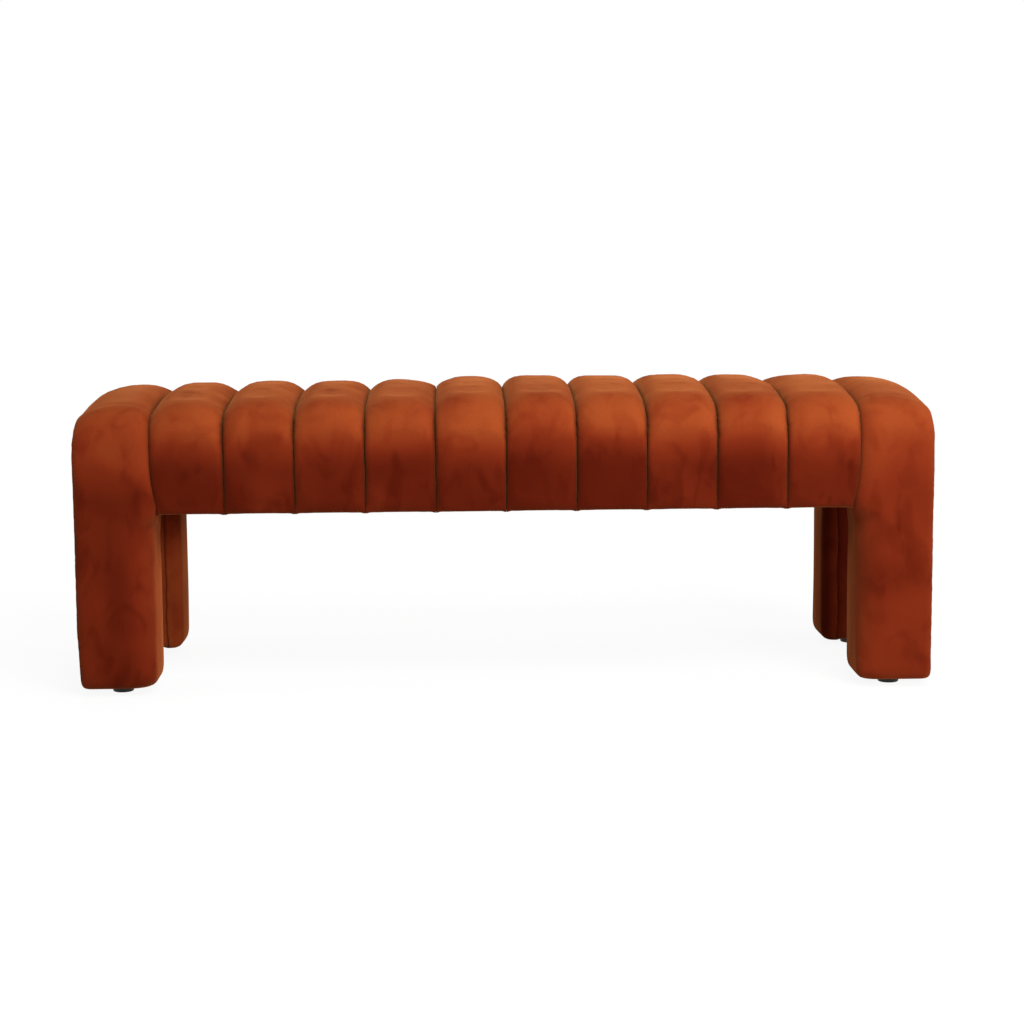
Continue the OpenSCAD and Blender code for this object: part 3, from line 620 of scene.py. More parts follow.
def channel_rows(index, path):
    """Rows along a channel from front to rear: position, outward normal, base, crown, share on the seat and
    length from the first row"""
    p, n = mirrored(path.p), mirrored(path.n)
    crown, share, base_y, base_z = (mirrored(values) for values in path.extra)
    base = np.stack([base_y, base_z], axis=1) * MM
    for rows in (p, n, base):
        rows[len(path.p):, 0] *= -1
    # Each channel is stuffed a little differently
    fill = CROWN_CHANGE[index] * MM * share
    s = np.concatenate([path.s, 2 * path.s[-1] - path.s[::-1][1:]])
    return p + n * fill[:, None], n, base, crown * MM + fill, share, s


def channel_seams(index, z, s, free, turn):
    """Places of a channel's two seams along the bench, which waver a little"""
    low = -SEAT_HALF + index * PITCH + SEAM_GAP
    high = low + PITCH - 2 * SEAM_GAP
    x0 = (end_seam(z) - HALF_W + SEAM_GAP if index == 0 else low) + 0 * s
    x1 = (HALF_W - SEAM_GAP - end_seam(z) if index == CHANNELS - 1 else high) + 0 * s
    for seam, seed in ((x0, 300 + index), (x1, 301 + index)):
        slow = 0.4 * MM * noise_1d(s / (26 * MM), seed)
        fast = 0.7 * MM * turn * noise_1d(s / (5 * MM), seed + 40)
        seam += free * (slow + fast)
    return x0[:, None], x1[:, None]


def channel_shade(index, share, from_left, from_right):
    """Shade along a channel's seams, full on the seat and widest at the turn"""
    turn = at_turn(share)
    above = np.maximum(turn, share)[:, None]
    shades = []
    for away, outermost in ((from_left, index == 0), (from_right, index == CHANNELS - 1)):
        below = END_CREASE if outermost else FRONT_CREASE
        shades.append(painted_seam_shade_at(away / (1 + 0.7 * turn[:, None])) * mix(below, 1.0, above))
    return np.maximum(*shades)


def channel_grid(index, path):
    """Outer and inner points of a channel, its painted shade and lay of pile, and the painted shade at its
    seams
    """
    p, n, base, crown, share, s = channel_rows(index, path)
    free = ramp(crown, 2 * MM, 8 * MM)
    turn = at_turn(share)
    x0, x1 = channel_seams(index, p[:, 1], s, free, turn)
    # Quarter-round shoulders with a gentle dome between them
    width = mix(SHOULDER_FRONT, SHOULDER_SEAT, share)[:, None]
    out = 1 - np.cos(SHOULDER)
    drop = 1 - np.sin(SHOULDER)
    left = x0 + width * out
    right = x1 - width * out[::-1]
    x = np.hstack([left, mix(left[:, -1:], right[:, :1], MIDDLE), right])
    from_left = x - x0
    from_right = x1 - x
    lost = np.tile(np.concatenate([drop, np.zeros(len(MIDDLE)), drop[::-1]]), (len(s), 1))
    across = from_left / (x1 - x0)
    dome = (2 * across - 1) ** 2
    flat = mix(FRONT_ROUNDNESS, ROUNDNESS[index], share)[:, None]
    pulled = share[:, None] * mix(SEAM_CHANGE[index], SEAM_CHANGE[index + 1], across) * MM
    depth = (crown[:, None] + pulled) * ((1 - flat) * lost + flat * dome)
    # Pinched stitches and small folds beside the seams
    strength = (0.28 + 1.2 * turn) * free
    # The seams' folds stand out a little under the seat
    under = np.exp(-((np.abs(p[:, 0]) - 210 * MM) / (9 * MM)) ** 2) * (p[:, 1] < UNDER + 8 * MM)
    for away, seed in ((from_left, 100 + index), (from_right, 101 + index)):
        stitches = 0.8 * MM * strength * seam_pull(s, seed)
        folds = 0.15 * MM * strength * noise_1d(s / (7 * MM), seed + 200)
        depth += stitches[:, None] * np.exp(-away / (6 * MM))
        depth += folds[:, None] * np.exp(-away / (15 * MM))
        depth -= (2.6 * MM * under)[:, None] * np.exp(-(away / (5 * MM)) ** 2)
    # Soft unevenness of the stuffing
    stuffing = noise_2d(x / (55 * MM) + 7 * index, s[:, None] / (70 * MM), 11)
    depth -= 1.0 * MM * free[:, None] * stuffing * (1 - lost)
    # The velvet rolls into the seams as far as the foam behind it lets it
    room = np.linalg.norm(p - base, axis=1) - 0.6 * MM
    for k, roll in ((0, 1.0), (1, 0.35), (-1, 1.0), (-2, 0.35)):
        depth[:, k] = np.minimum(depth[:, k] + roll * ROLL * free, room)
    outer = grid_of(x, p[:, :1] - n[:, :1] * depth, p[:, 1:] - n[:, 1:] * depth)
    # The sides meet their neighbours at the foot of the seams, so nothing shows through
    inner = grid_of(x, base[:, :1], base[:, 1:])
    inner[:, 0, 0] -= SEAM_GAP * (1.9 if index == 0 else 0.95)
    inner[:, -1, 0] += SEAM_GAP * (1.9 if index == CHANNELS - 1 else 0.95)
    # Painted light and shade with the lay of the pile: light on the seat and darker down the front
    lay_and_painted_shade = mix(ramp(-p[:, 1], -436 * MM, -338 * MM), 0.2, share)[:, None] + 0 * x
    # Painted shade along the seams
    painted_seam_shade = channel_shade(index, share, from_left, from_right) * ramp(crown, 1 * MM, 6 * MM)[:, None]
    return outer, inner, lay_and_painted_shade, painted_seam_shade


def new_velvet(name, points, faces, lay_and_painted_shade, painted_seam_shade, strip):
    """Velvet with painted shade and pile lay, painted seam shade and a shift of the pattern for each strip"""
    return new_mesh(name, points, faces, {"lay_and_painted_shade": lay_and_painted_shade, "painted_seam_shade": painted_seam_shade, "strip": np.full(len(points), strip)})


def make_channels():
    """Ten channels, each with the foam behind its velvet, shaped in code and then by the cloth pass"""
    path = Path(CHANNEL_FRONT + turn_controls(True), 4 * MM)
    for index in range(CHANNELS):
        outer, inner, lay_and_painted_shade, painted_seam_shade = channel_grid(index, path)
        rows, cols = outer.shape[:2]
        # Held along its edges under the rails and at its seams
        held = np.ones((rows, cols), bool)
        held[4:-4, 2:-2] = False
        outer = relax(outer.reshape(-1, 3), grid_faces(rows, cols), held.ravel())
        points = np.concatenate([outer, inner.reshape(-1, 3)])
        obj = new_velvet(f"channel_velvet_{index + 1}", points, closed_faces(rows, cols),
                         np.tile(lay_and_painted_shade.ravel(), 2), np.tile(painted_seam_shade.ravel(), 2), 3.7 * index + 1.3)
        finish_piece(obj, "velvet", f"channel_cover_{index + 1}", "channel_foam")


make_channels()


# End units: the distance from row to row, and in millimetres their front face and the rows from under a leg to
# its straight part with their height over the glide, inset and share of the corners' roundness
END_STEP = 5 * MM
FACE_Y = -225
LEG_FOOT = [[0.0, 34.0, 0.1], [-0.5, 24.0, 0.3], [-0.7, 15.5, 0.6], [-0.2, 10.4, 0.85], [1.3, 6.6, 1.0],
            [4.0, 3.7, 1.0], [7.6, 1.9, 1.0], [12.0, 0.8, 1.0], [17.5, 0.2, 1.0], [23.0, 0.0, 1.0]]
FOOT_ROWS = [[z + GLIDE_H / MM, inset, rounded] for z, inset, rounded in LEG_FOOT]
# What differs between the end units: on the seat the strip's drop as a whole, to its outer edge and to its
# inner edge, at the foot the width and depth of the soft inner corner, and the swell of the outer edge
END_SHAPE = {
    "left": {"lower": 10.9, "outer": 29, "inner": 31, "foot": (34, 32), "swell": 4.0},
    "right": {"lower": 7.7, "outer": 27.3, "inner": 23, "foot": (24, 18), "swell": 0.6},
}
# Painted light and shade with the lay of the pile on the strip and inside the arch, each at its heights, and
# the shift of the pattern
STRIP_HEIGHTS = [0.0, 0.3, 0.36, 0.43, 0.47]
ARCH_HEIGHTS = [0.0, 0.15, 0.21, 0.27]
END_LOOK = {
    "left": {"strip": [0.97, 0.81, 0.42, 0.1, 0.2], "arch": [0.1, 0.2, 0.7, 1.1], "shift": 20.5},
    "right": {"strip": [0.84, 0.68, 0.42, 0.1, 0.2], "arch": [1.0, 1.0, 1.1, 1.1], "shift": 47.1},
}
# Width and depth of the soft inner corner up a front leg and up a rear leg
FRONT_CORNER = (42, 48)
REAR_CORNER = (30, 24)
# Roundness of the outer edge on a leg, its width on the seat, and the edge beside the channels: its width and
# depth on the front, and its width on the seat
OUTER_LEG = 12 * MM
OUTER_SEAT_W = 66 * MM
INNER_FRONT_W = 24 * MM
INNER_FRONT_D = 12 * MM
INNER_SEAT_W = 36 * MM


def end_rows():
    """Front half of an end unit's strip, for each row: y, z, the normal's y and z, inset, share of the
    corners' roundness and share on the seat"""
    rows = [[FACE_Y + inset, z, -1, 0, inset, rounded, 0.0] for z, inset, rounded in FOOT_ROWS]
    straight = np.arange(rows[-1][1], EDGE_Z / MM, END_STEP / MM)[1:]
    rows += [[FACE_Y, z, -1, 0, 0, 1, 0.0] for z in straight]
    turn = Path([[FACE_Y, 340, 0, 0], [FACE_Y, 365, 0, 0]] + turn_controls(False), END_STEP)
    # Those rows of the turn that come after the last straight one
    for p, n, share in zip(turn.p / MM, turn.n, turn.extra[1]):
        if p[1] > straight[-1] + 0.5 * END_STEP / MM or p[0] > FACE_Y + 5:
            rows.append([p[0], p[1], n[0], n[1], 0, 1, share])
    return np.array(rows)


def end_grid(rows, side, rear):
    """Front half of the strip, or its rear half turned to the front, from the outer seam to the inner edge:
    distance from the end unit's outer face, y and z"""
    y, z, ny, nz, inset, rounded, share = rows.T
    y, z, inset = y * MM, z * MM, inset * MM
    shape = END_SHAPE[side]
    seed = (side == "right") + 2 * rear
    on_seat = ramp(z, 258 * MM, 300 * MM)
    above_foot = ramp(z, 15 * MM, 120 * MM)
    out_w = mix(OUTER_LEG, OUTER_SEAT_W, share)
    drop = mix(OUTER_LEG, shape["outer"] * MM, share)
    lower = shape["lower"] * MM * share
    soft_w, soft_d = (mix(low * MM, high * MM, above_foot)
                      for low, high in zip(shape["foot"], REAR_CORNER if rear else FRONT_CORNER))
    in_w = mix(mix(soft_w, INNER_FRONT_W, on_seat), INNER_SEAT_W, share)
    in_d = mix(mix(soft_d, INNER_FRONT_D, on_seat), shape["inner"] * MM, share)
    end_u = end_seam(z) - SEAM_GAP * (z > UNDER) - inset
    arc = np.arange(len(y)) * END_STEP
    sin, cos = np.sin(SHOULDER), np.cos(SHOULDER)
    out_u = 0.35 * inset[:, None] + out_w[:, None] * (1 - cos)
    out_n = -lower[:, None] - drop[:, None] * (1 - sin) * rounded[:, None]
    in_u = end_u[:, None] - in_w[:, None] * (1 - cos[::-1])
    in_n = -lower[:, None] - (in_d - lower)[:, None] * (1 - sin[::-1]) * rounded[:, None]
    mid_u = mix(out_u[:, -1:], in_u[:, :1], MIDDLE)
    mid_n = np.repeat(-lower[:, None], len(MIDDLE), 1)
    u = np.hstack([out_u, mid_u, in_u])
    n = np.hstack([out_n, mid_n, in_n])
    t = u / end_u[:, None]
    # Pillowed middle, stuffing and pinched seam
    body = ramp(z, 0.02, 0.05)[:, None]
    n = n + body * (1.4 * MM * (1 - (2 * t - 1) ** 2) - 0.2 * MM)
    n = n + body * 0.9 * MM * noise_2d(u / (60 * MM) + seed, arc[:, None] / (85 * MM), 21)
    near = np.exp(-u / (4 * MM)) * body
    u = u + near * (1.0 + 0.5 * seam_pull(arc, 400 + seed)[:, None]) * MM
    # The outer edge swells outwards up the leg and less at the turn
    swell = shape["swell"] * MM * ramp(z, 0.0, 0.12) * (1 - 0.5 * ramp(z, 0.36, 0.42)) * (1 - share)
    u = u - swell[:, None] * (1 - t) ** 2
    seam = np.exp(-(end_u[:, None] - u) / (7 * MM)) * on_seat[:, None]
    inner_seed = 100 + CHANNELS * (side == "right")
    n = n - 0.35 * MM * seam * ((1 + at_turn(share)) * seam_pull(arc, inner_seed))[:, None]
    return grid_of(u, y[:, None] + ny[:, None] * n, z[:, None] + nz[:, None] * n)


# Hem of the strip: its columns on a leg's inner face, round the corner, and on the inside of the arch
HEM_FACE = np.linspace(0, 1, 9)[1:]
HEM_TURN = np.radians(np.linspace(0, 90, 8)[1:])
HEM_ARCH = np.linspace(0, 1, 5)[1:]
# Its width inside the arch and the radius of its corner
HEM_W = 23 * MM
HEM_R = 16 * MM


def hem_size(z):
    """Width of the hem on the inside of the arch, and the radius of the corner it goes round"""
    full = 1 - ramp(z, UNDER - 45 * MM, UNDER - 6 * MM)
    wander = 2.0 * noise_1d(z / (60 * MM), 78) + (1 - ramp(z, 0.05, 0.2)) * noise_1d(z / (7 * MM), 77)
    return mix(1 * MM, HEM_W + wander * MM, full), mix(0.5 * MM, HEM_R, full)


def arch_pull(z):
    """Puckers of the seam inside the arch, deeper towards the floor"""
    return 1.2 * MM * (1.1 + mix(0.9, 0.4, ramp(z, 0.06, 0.2)) * seam_pull(z, 431))


def arch_lay_and_painted_shade(z, side):
    """Painted light and shade inside the arches: lighter towards the floor on the left, dark on the right"""
    return np.interp(z, ARCH_HEIGHTS, END_LOOK[side]["arch"])


def flap_grid(strip, rows):
    """Inner face of a front leg, from the strip's soft corner round the next one to its seam in the arch"""
    keep = rows[:, 1] * MM <= UNDER + 1.5 * MM
    start = strip[keep][:, -1]
    z = start[:, 2:]
    inset = rows[keep][:, 4:5] * MM
    hem, radius = hem_size(z)
    radius = radius * np.clip(1 - inset / (40 * MM), 0.15, 1)
    flank = LEG_W - inset
    face = ARCH_Y + 0.5 * inset
    end = np.minimum(LEG_W - hem, flank - radius - 1 * MM)
    cos, sin = np.cos(HEM_TURN), np.sin(HEM_TURN)
    u = np.hstack([mix(start[:, :1], flank, ramp(HEM_FACE, 0.0, 0.35)), flank - radius * (1 - cos),
                   mix(flank - radius, end, HEM_ARCH)])
    v = np.hstack([mix(-start[:, 1:2], face + radius, HEM_FACE), face + radius * (1 - sin),
                   face + 0 * HEM_ARCH * z])
    out_u = np.concatenate([np.ones(len(HEM_FACE)), cos, np.zeros(len(HEM_ARCH))])
    out_v = np.concatenate([np.zeros(len(HEM_FACE)), sin, np.ones(len(HEM_ARCH))])
    swell = np.concatenate([np.sin(np.pi * HEM_FACE), np.zeros(len(HEM_TURN) + len(HEM_ARCH))])
    body = ramp(z, 0.02, 0.06)
    out = 1.3 * MM * swell * body + 0.6 * MM * noise_2d((u + v) / (40 * MM), z / (60 * MM), 31) * out_u
    out = out - arch_pull(z) * np.exp(-(u - end) / (4 * MM)) * out_v ** 4
    flap = grid_of(u + out_u * out, -(v - out_v * out), z)
    return np.concatenate([start[:, None], flap], axis=1)


def joined_grids(grids, values, flip):
    """One mesh from grids, with a value for each point; points that share a place become one"""
    faces, count = [], 0
    for grid in grids:
        rows, cols = grid.shape[:2]
        faces += grid_faces(rows, cols, count, flip)
        count += rows * cols
    points = np.concatenate([grid.reshape(-1, 3) for grid in grids])
    numbers = np.concatenate([value.ravel() for value in values])
    places, ids, kept = {}, [], []
    for point, number in zip(points, numbers):
        key = tuple(round(c, 7) for c in point)
        if key not in places:
            places[key] = len(places)
            kept.append(number)
        ids.append(places[key])
    return np.array(list(places)), [[ids[i] for i in face] for face in faces], np.array(kept)


def end_lay_and_painted_shade(points, side):
    """Painted light and shade on a strip with the lay of the pile, light over the top and darker down the legs
    """
    x, y, z = points.T
    lay_and_painted_shade = np.interp(z, STRIP_HEIGHTS, END_LOOK[side]["strip"])
    # Painted light round the legs' soft corners
    from_side = HALF_W - np.abs(x)
    lay_and_painted_shade -= 0.15 * np.exp(-((from_side - 104 * MM) / (15 * MM)) ** 2) * (1 - ramp(z, 0.24, 0.3))
    inside = 1 - ramp(np.abs(y), ARCH_Y, ARCH_Y + 40 * MM)
    lay_and_painted_shade = mix(lay_and_painted_shade, arch_lay_and_painted_shade(z, side), inside * (z < UNDER))
    if side == "left":
        # Painted light, lightest on the inner faces of these two legs, and round the rear one's corner
        light = mix(0.42, 0.0, ramp(y, 0.13, 0.2))
        corner = np.where(y > 0, 24 * MM, 0)
        face = ramp(from_side, 108 * MM - corner, 111 * MM - 0.4 * corner)
        lay_and_painted_shade = mix(lay_and_painted_shade, light, face * ramp(-z, -0.24, -0.17))
    return lay_and_painted_shade


def at_end(grid, side):
    """Grid that starts at an end unit's outer face, put in its place"""
    return grid - [HALF_W, 0, 0] if side == "left" else [HALF_W, 0, 0] + grid * [-1, 1, 1]


def finish_cover(obj, fill, *nodes):
    """Gives a velvet cover its thickness and finishes it as a padded piece"""
    modify(obj, "SOLIDIFY", thickness=CLOTH_T, offset=-1)
    apply_modifiers(obj)
    finish_piece(obj, "velvet", *nodes)


def make_end(side):
    """Strip up the front legs, over the top and down the rear legs, with its flaps; gives its outer seam"""
    rows = end_rows()
    to_rear = [1, -1, 1]
    front = end_grid(rows, side, False)
    rear = end_grid(rows, side, True)
    # The two halves share the front one's row in the middle of the seat
    strip = np.concatenate([front, (rear * to_rear)[::-1][1:]])
    grids = [strip, flap_grid(front, rows), (flap_grid(rear, rows) * to_rear)[::-1]]
    # Painted shade along the strip's two seams and along the flaps' seams in the arches
    seat = ramp(strip[..., 2], UNDER, UNDER + 15 * MM)
    seat = seat * mix(END_CREASE, 1.0, ramp(strip[..., 2], 392 * MM, 432 * MM))
    painted_seam_shades = [np.maximum(painted_seam_shade_at(strip[..., 0] - strip[:, :1, 0]) * 0.35,
                          painted_seam_shade_at(strip[:, -1:, 0] - strip[..., 0]) * seat)]
    painted_seam_shades += [0.6 * painted_seam_shade_at(np.linalg.norm(flap - flap[:, -1:], axis=2)) for flap in grids[1:]]
    points, faces, painted_seam_shade = joined_grids([at_end(grid, side) for grid in grids], painted_seam_shades, side == "right")
    obj = new_velvet(f"{side}_end_velvet", points, faces, end_lay_and_painted_shade(points, side), painted_seam_shade,
                     END_LOOK[side]["shift"])
    finish_cover(obj, 0.8, f"{side}_arch_cover", f"{side}_arch_foam", f"{side}_inner_foam")
    return strip[:, 0]


def arch_line(count):
    """Inside of the arch between two legs, from the front leg's foot to the rear leg's foot: y, z"""
    inset = 0.3 * MM
    y, top = ARCH_Y - inset, UNDER - inset
    corner = [(y - ARCH_R + ARCH_R * math.cos(a), top - ARCH_R + ARCH_R * math.sin(a))
              for a in np.radians(np.linspace(0, 90, 8))]
    front = [(-cy, cz) for cy, cz in corner]
    legs = np.linspace(GLIDE_H + 0.2 * MM, top - ARCH_R, count)[:-1]
    tops = np.linspace(-(y - ARCH_R), y - ARCH_R, count // 2)[1:-1]
    up = [(-y, z) for z in legs] + front
    down = corner[::-1] + [(y, z) for z in legs[::-1]]
    return np.array(up + [(v, top) for v in tops] + down)


def foot_inset(z):
    """Inset of a leg's surfaces over its rounded lower edge"""
    rows = np.array(FOOT_ROWS) * MM
    return np.interp(z, rows[3:, 0], rows[3:, 1])


def arch_edge(outer):
    """Edge at the arch with a point for each of the outer edge: up the front leg, over the top in the outer
    edge's shares of length, and down the rear leg"""
    turn_z = UNDER - ARCH_R
    legs = int(np.argmin(outer[:, 1] <= turn_z)) - 1
    arch = arch_line(12)
    arch = arch[arch[:, 1] >= turn_z - 1e-6]
    length_o = along(outer[legs:len(outer) - legs])
    length_i = along(arch)
    share = length_o / length_o[-1]
    top = np.stack([np.interp(share * length_i[-1], length_i, arch[:, k]) for k in (0, 1)], axis=1)
    low_y = ARCH_Y - 0.4 * MM + 0.5 * foot_inset(outer[:legs, 1])
    front = np.stack([-low_y, outer[:legs, 1]], axis=1)
    rear = np.stack([low_y[::-1], outer[len(outer) - legs:, 1]], axis=1)
    return np.concatenate([front, top, rear])


def make_outer_panel(side, seam):
    """Flat panel between the strip's outer seam and the arch"""
    # Without the rows under the legs
    seam = seam[3:-3]
    outer = seam[:, 1:]
    seam_u = seam[:, 0] - 1.0 * MM
    inner = arch_edge(outer)
    # Columns closer together beside the two edges
    w = np.linspace(0, 1, 25)[None, :, None]
    w = mix(w, smooth(w), 0.55)
    flat = mix(outer[:, None, :], inner[:, None, :], w)
    gap_out = np.linalg.norm(flat - outer[:, None, :], axis=2)
    gap_in = np.linalg.norm(flat - inner[:, None, :], axis=2)
    s = along(outer)[:, None]
    low = ramp(flat[..., 1], 0.015, 0.05)
    # Painted shade along the panel's two seams
    painted_seam_shade = 0.4 * painted_seam_shade_at(np.minimum(gap_out, gap_in))
    # Pillowed middle, stuffing and pinched seams
    bulge = 2.4 * MM * (1 - np.exp(-gap_out / (14 * MM))) * (1 - np.exp(-gap_in / (12 * MM))) * low
    seed = 5 if side == "left" else 6
    bulge += 0.7 * MM * noise_2d(flat[..., 0] / (70 * MM) + 3, flat[..., 1] / (80 * MM), seed) * low
    pinch = np.exp(-gap_out / (4 * MM)) + np.exp(-gap_in / (4 * MM))
    bulge -= pinch * (1.1 + 0.4 * seam_pull(s[:, 0], 410 + seed)[:, None]) * MM
    foot = np.exp(-(flat[..., 1] - GLIDE_H) / (4 * MM))
    # The panel's rim meets the strip's seam
    u = -bulge + 2.2 * MM * foot + seam_u[:, None] * np.exp(-gap_out / (30 * MM))
    grid = grid_of(u, flat[..., 0], flat[..., 1])
    # Hems turned under the two legs
    hems = grid[[0, -1]] + [14 * MM, 0, 0.5 * MM]
    grid = np.concatenate([hems[:1], grid, hems[1:]])
    painted_seam_shade = np.concatenate([painted_seam_shade[:1], painted_seam_shade, painted_seam_shade[-1:]])
    points = at_end(grid, side).reshape(-1, 3)
    faces = grid_faces(*grid.shape[:2], flip=side == "left")
    lay_and_painted_shade = np.full(len(points), 0.4)
    obj = new_velvet(f"{side}_outer_panel", points, faces, lay_and_painted_shade, painted_seam_shade.ravel(), 61.7 + seed)
    finish_cover(obj, 0.4, f"{side}_outer_cover", f"{side}_outer_foam")


# Width of the arch lining and the places of its columns, closer together beside its edges, in millimetres
LINING_W = 110
LINING_COLUMNS = np.concatenate([[0, 1, 2.4, 4.8, 8.8], np.linspace(14, 96, 15),
                                 [101, 105.5, 107.8, 109, LINING_W]])


def make_lining(side):
    """Velvet inside the arch, from under the front leg over the top to under the rear leg"""
    right = side == "right"
    line = arch_line(44)
    tangent = np.gradient(line, axis=0)
    tangent /= np.linalg.norm(tangent, axis=1)[:, None]
    # Into the opening: to the right of the way up the front leg
    out = np.stack([tangent[:, 1], -tangent[:, 0]], axis=1)
    s = along(line)
    from_foot = np.minimum(s, s[-1] - s)
    inset = foot_inset(line[:, 1]) * (line[:, 1] < 0.1)
    first = (1.2 * MM + 0.35 * inset)[:, None]
    last = (LEG_W - 0.3 * MM - np.maximum(hem_size(line[:, 1])[0], 1.5 * MM))[:, None]
    across = mix(first, last, LINING_COLUMNS / LINING_W)
    edge = np.minimum(across - first, last - across)
    high = ramp(from_foot, 0, 0.03)[:, None]
    bulge = 1.6 * MM * (1 - np.exp(-edge / (12 * MM))) * high
    bulge = bulge - np.exp(-edge / (3 * MM)) * arch_pull(line[:, 1:])
    bulge = bulge + 0.5 * MM * noise_2d(across / (40 * MM), s[:, None] / (60 * MM), 33 + right) * high
    bulge = bulge - 0.5 * inset[:, None]
    grid = grid_of(across, line[:, :1] + out[:, :1] * bulge, line[:, 1:] + out[:, 1:] * bulge)
    # Hems turned under the two legs
    under = grid[[0, -1]]
    under[0, :, 1] -= 12 * MM
    under[1, :, 1] += 12 * MM
    under[:, :, 2] += 0.6 * MM
    grid = np.concatenate([under[:1], grid, under[1:]])
    # Painted shade along the lining's two seams
    painted_seam_shade = 0.6 * painted_seam_shade_at(np.minimum(grid[..., 0] - grid[:, :1, 0], grid[:, -1:, 0] - grid[..., 0]))
    points = at_end(grid, side).reshape(-1, 3)
    faces = grid_faces(*grid.shape[:2], flip=right)
    obj = new_velvet(f"{side}_lining_velvet", points, faces, arch_lay_and_painted_shade(points[:, 2], side), painted_seam_shade.ravel(),
                     82.3 + 2 * right)
    finish_cover(obj, 0.3, f"{side}_arch_lining", f"{side}_lining_foam")


for side in END_SHAPE:
    make_outer_panel(side, make_end(side))
    make_lining(side)


def make_seat_foam():
    """Foam slab between the deck and the channels"""
    low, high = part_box("seat_foam")
    path = Path(turn_controls(True), 8 * MM)
    base = np.stack(path.extra[2:4], axis=1) * MM
    # A little inside the channels' base
    front = [(y * 0.998, z - 0.6 * MM) for y, z in base]
    line = np.array(front + [(-y, z) for y, z in front[::-1][1:]])
    line[:, 1] = np.maximum(line[:, 1], low.z + 0.4 * MM)
    x = np.linspace(low.x, high.x, 40)
    outer = grid_of(x, line[:, :1], line[:, 1:])
    inner = grid_of(x, line[:, :1], low.z)
    points = np.concatenate([outer.reshape(-1, 3), inner.reshape(-1, 3)])
    obj = new_mesh("seat_foam_slab", points, closed_faces(*outer.shape[:2]))
    finish_piece(obj, "foam_yellow", "seat_foam")


make_seat_foam()


def make_dust_cover():
    """Dust cover under the seat box, drawn tight between its staples"""
    low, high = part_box("dust_cover")
    x = np.linspace(low.x, high.x, 145)
    y = np.linspace(low.y, high.y, 53)
    gx, gy = np.meshgrid(x, y)
    from_edge = np.minimum(np.minimum(gx - low.x, high.x - gx), np.minimum(gy - low.y, high.y - gy))
    sag = 1.6 * MM * ramp(from_edge, 5 * MM, 90 * MM)
    ripple = 0.35 * MM * np.sin(gx * 2 * math.pi / (60 * MM)) * np.exp(-from_edge / (30 * MM))
    z = low.z + 0.15 * MM - sag + ripple * ramp(from_edge, 4 * MM, 12 * MM)
    z += 0.25 * MM * noise_2d(gx / (90 * MM), gy / (60 * MM), 41) * ramp(from_edge, 5 * MM, 40 * MM)
    obj = new_mesh("dust_cover_cloth", grid_of(gx, gy, z).reshape(-1, 3), grid_faces(*gx.shape))
    modify(obj, "SOLIDIFY", thickness=0.4 * MM, offset=1)
    apply_modifiers(obj)
    finish_piece(obj, "cambric", "dust_cover")


make_dust_cover()


# Floor, background and light. Around the bench the floor keeps a little of its shadows, and from FLOOR_WHITE
# outwards it is as white as the background.
FLOOR_HALF = 12.0
FLOOR_NEAR = 0.7
FLOOR_WHITE = 2.2
FLOOR_GLOW = 0.91
WORLD_LIGHT = 0.1
# Name, place, aim, size and power of each light
LIGHTS = [
    ("key", (0.8, -2.2, 2.5), (0, 0, 0.35), (2.2, 1.3), 88),
    ("front", (1.5, -3.0, 0.95), (0, 0, 0.2), (1.0, 0.6), 73),
    ("side", (3.0, -0.9, 0.62), (-0.2, 0, 0.2), (1.2, 0.8), 36),
    ("top", (0.0, 0.4, 3.0), (0, 0, 0.4), (2.6, 1.8), 26),
    ("left", (-3.0, -0.6, 0.9), (-0.4, 0, 0.25), (1.0, 0.8), 18),
    ("back", (-0.3, 3.0, 1.3), (0, 0, 0.25), (2.0, 1.1), 54),
]


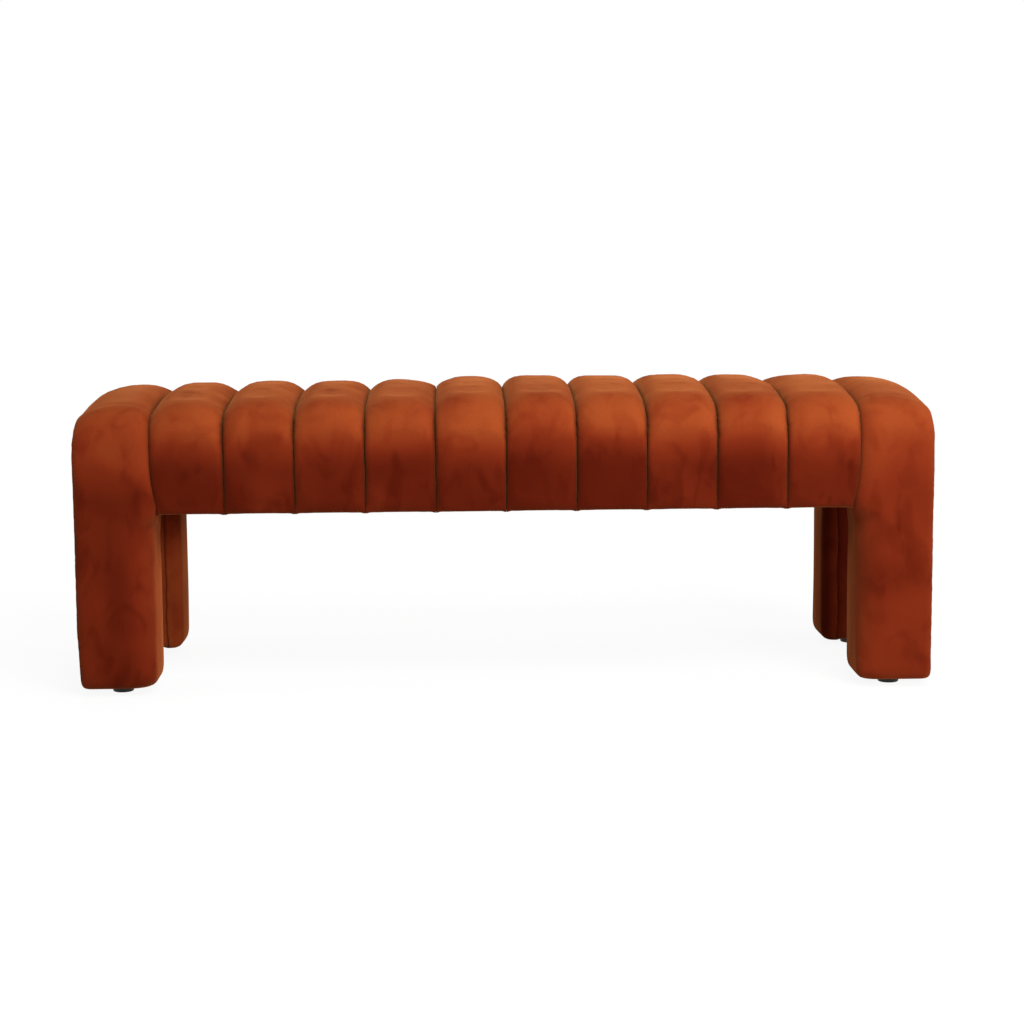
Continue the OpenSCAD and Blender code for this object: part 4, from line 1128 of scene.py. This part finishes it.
def make_floor():
    """Pale floor that is white where it is seen and grey to the light that it throws back"""
    corners = [(x * FLOOR_HALF, y * FLOOR_HALF, 0) for x, y in ((-1, -1), (1, -1), (1, 1), (-1, 1))]
    floor = new_mesh("floor", corners, [[0, 1, 2, 3]])
    n = new_material("pale_floor")
    seen = n.seen()
    n.shade({"Base Color": n.blend(seen, *FLOOR), "Roughness": 0.95, "Specular IOR Level": 0.0})
    far = n.add("ShaderNodeVectorMath", operation="LENGTH")
    n.feed(far.inputs[0], n.place())
    white = n.step(far.outputs["Value"], FLOOR_NEAR, FLOOR_WHITE, FLOOR_GLOW, 1.0)
    glow = n.add("ShaderNodeEmission", {"Color": WHITE, "Strength": 1.0})
    mixer = n.add("ShaderNodeMixShader", {0: n.maths("MULTIPLY", seen, white), 1: n.shader.outputs[0],
                                          2: glow.outputs[0]})
    n.feed(n.tree.nodes["Material Output"].inputs["Surface"], mixer.outputs[0])
    paint(floor, n.owner)


def make_world():
    """White behind the bench, with little light of its own"""
    world = bpy.data.worlds.new("studio")
    bpy.context.scene.world = world
    n = Nodes(world, "Background")
    strength = n.add("ShaderNodeMapRange", {"Value": n.seen(), "To Min": WORLD_LIGHT, "To Max": 1.0})
    n.shade({"Color": WHITE, "Strength": strength.outputs["Result"]})


def add_light(name, place, aim, size, power):
    """Light from a rectangle at a place, turned towards its aim"""
    data = bpy.data.lights.new(name, "AREA")
    data.shape = "RECTANGLE"
    data.size, data.size_y = size
    data.energy = power
    light = bpy.data.objects.new(name, data)
    bpy.context.scene.collection.objects.link(light)
    back = np.array(place, float) - np.array(aim, float)
    back /= np.linalg.norm(back)
    right = np.cross([0, 0, 1.0], back)
    right /= np.linalg.norm(right)
    up = np.cross(back, right)
    columns = np.array([right, up, back]).T
    light.matrix_world = Matrix([[*columns[k], place[k]] for k in range(3)] + [[0, 0, 0, 1]])


def make_camera():
    """Camera a little to the left of the middle and above the seat, looking slightly down"""
    yaw, pitch, roll = -0.02332, 0.12499, 0.00812
    turn = Matrix.Rotation(yaw, 3, "Z") @ Matrix.Rotation(-pitch, 3, "X") @ Matrix.Rotation(roll, 3, "Y")
    right, forward, up = turn.col[0], turn.col[1], turn.col[2]
    place = (-0.06888, -3.52706, 0.694)
    data = bpy.data.cameras.new("view")
    data.sensor_width = 36.0
    data.lens = 77.33
    camera = bpy.data.objects.new("view", data)
    bpy.context.scene.collection.objects.link(camera)
    rows = [[right[k], up[k], -forward[k], place[k]] for k in range(3)]
    camera.matrix_world = Matrix(rows + [[0, 0, 0, 1]])
    bpy.context.scene.camera = camera


make_floor()
make_world()
for light in LIGHTS:
    add_light(*light)
make_camera()
bpy.context.scene.view_settings.view_transform = "Standard"
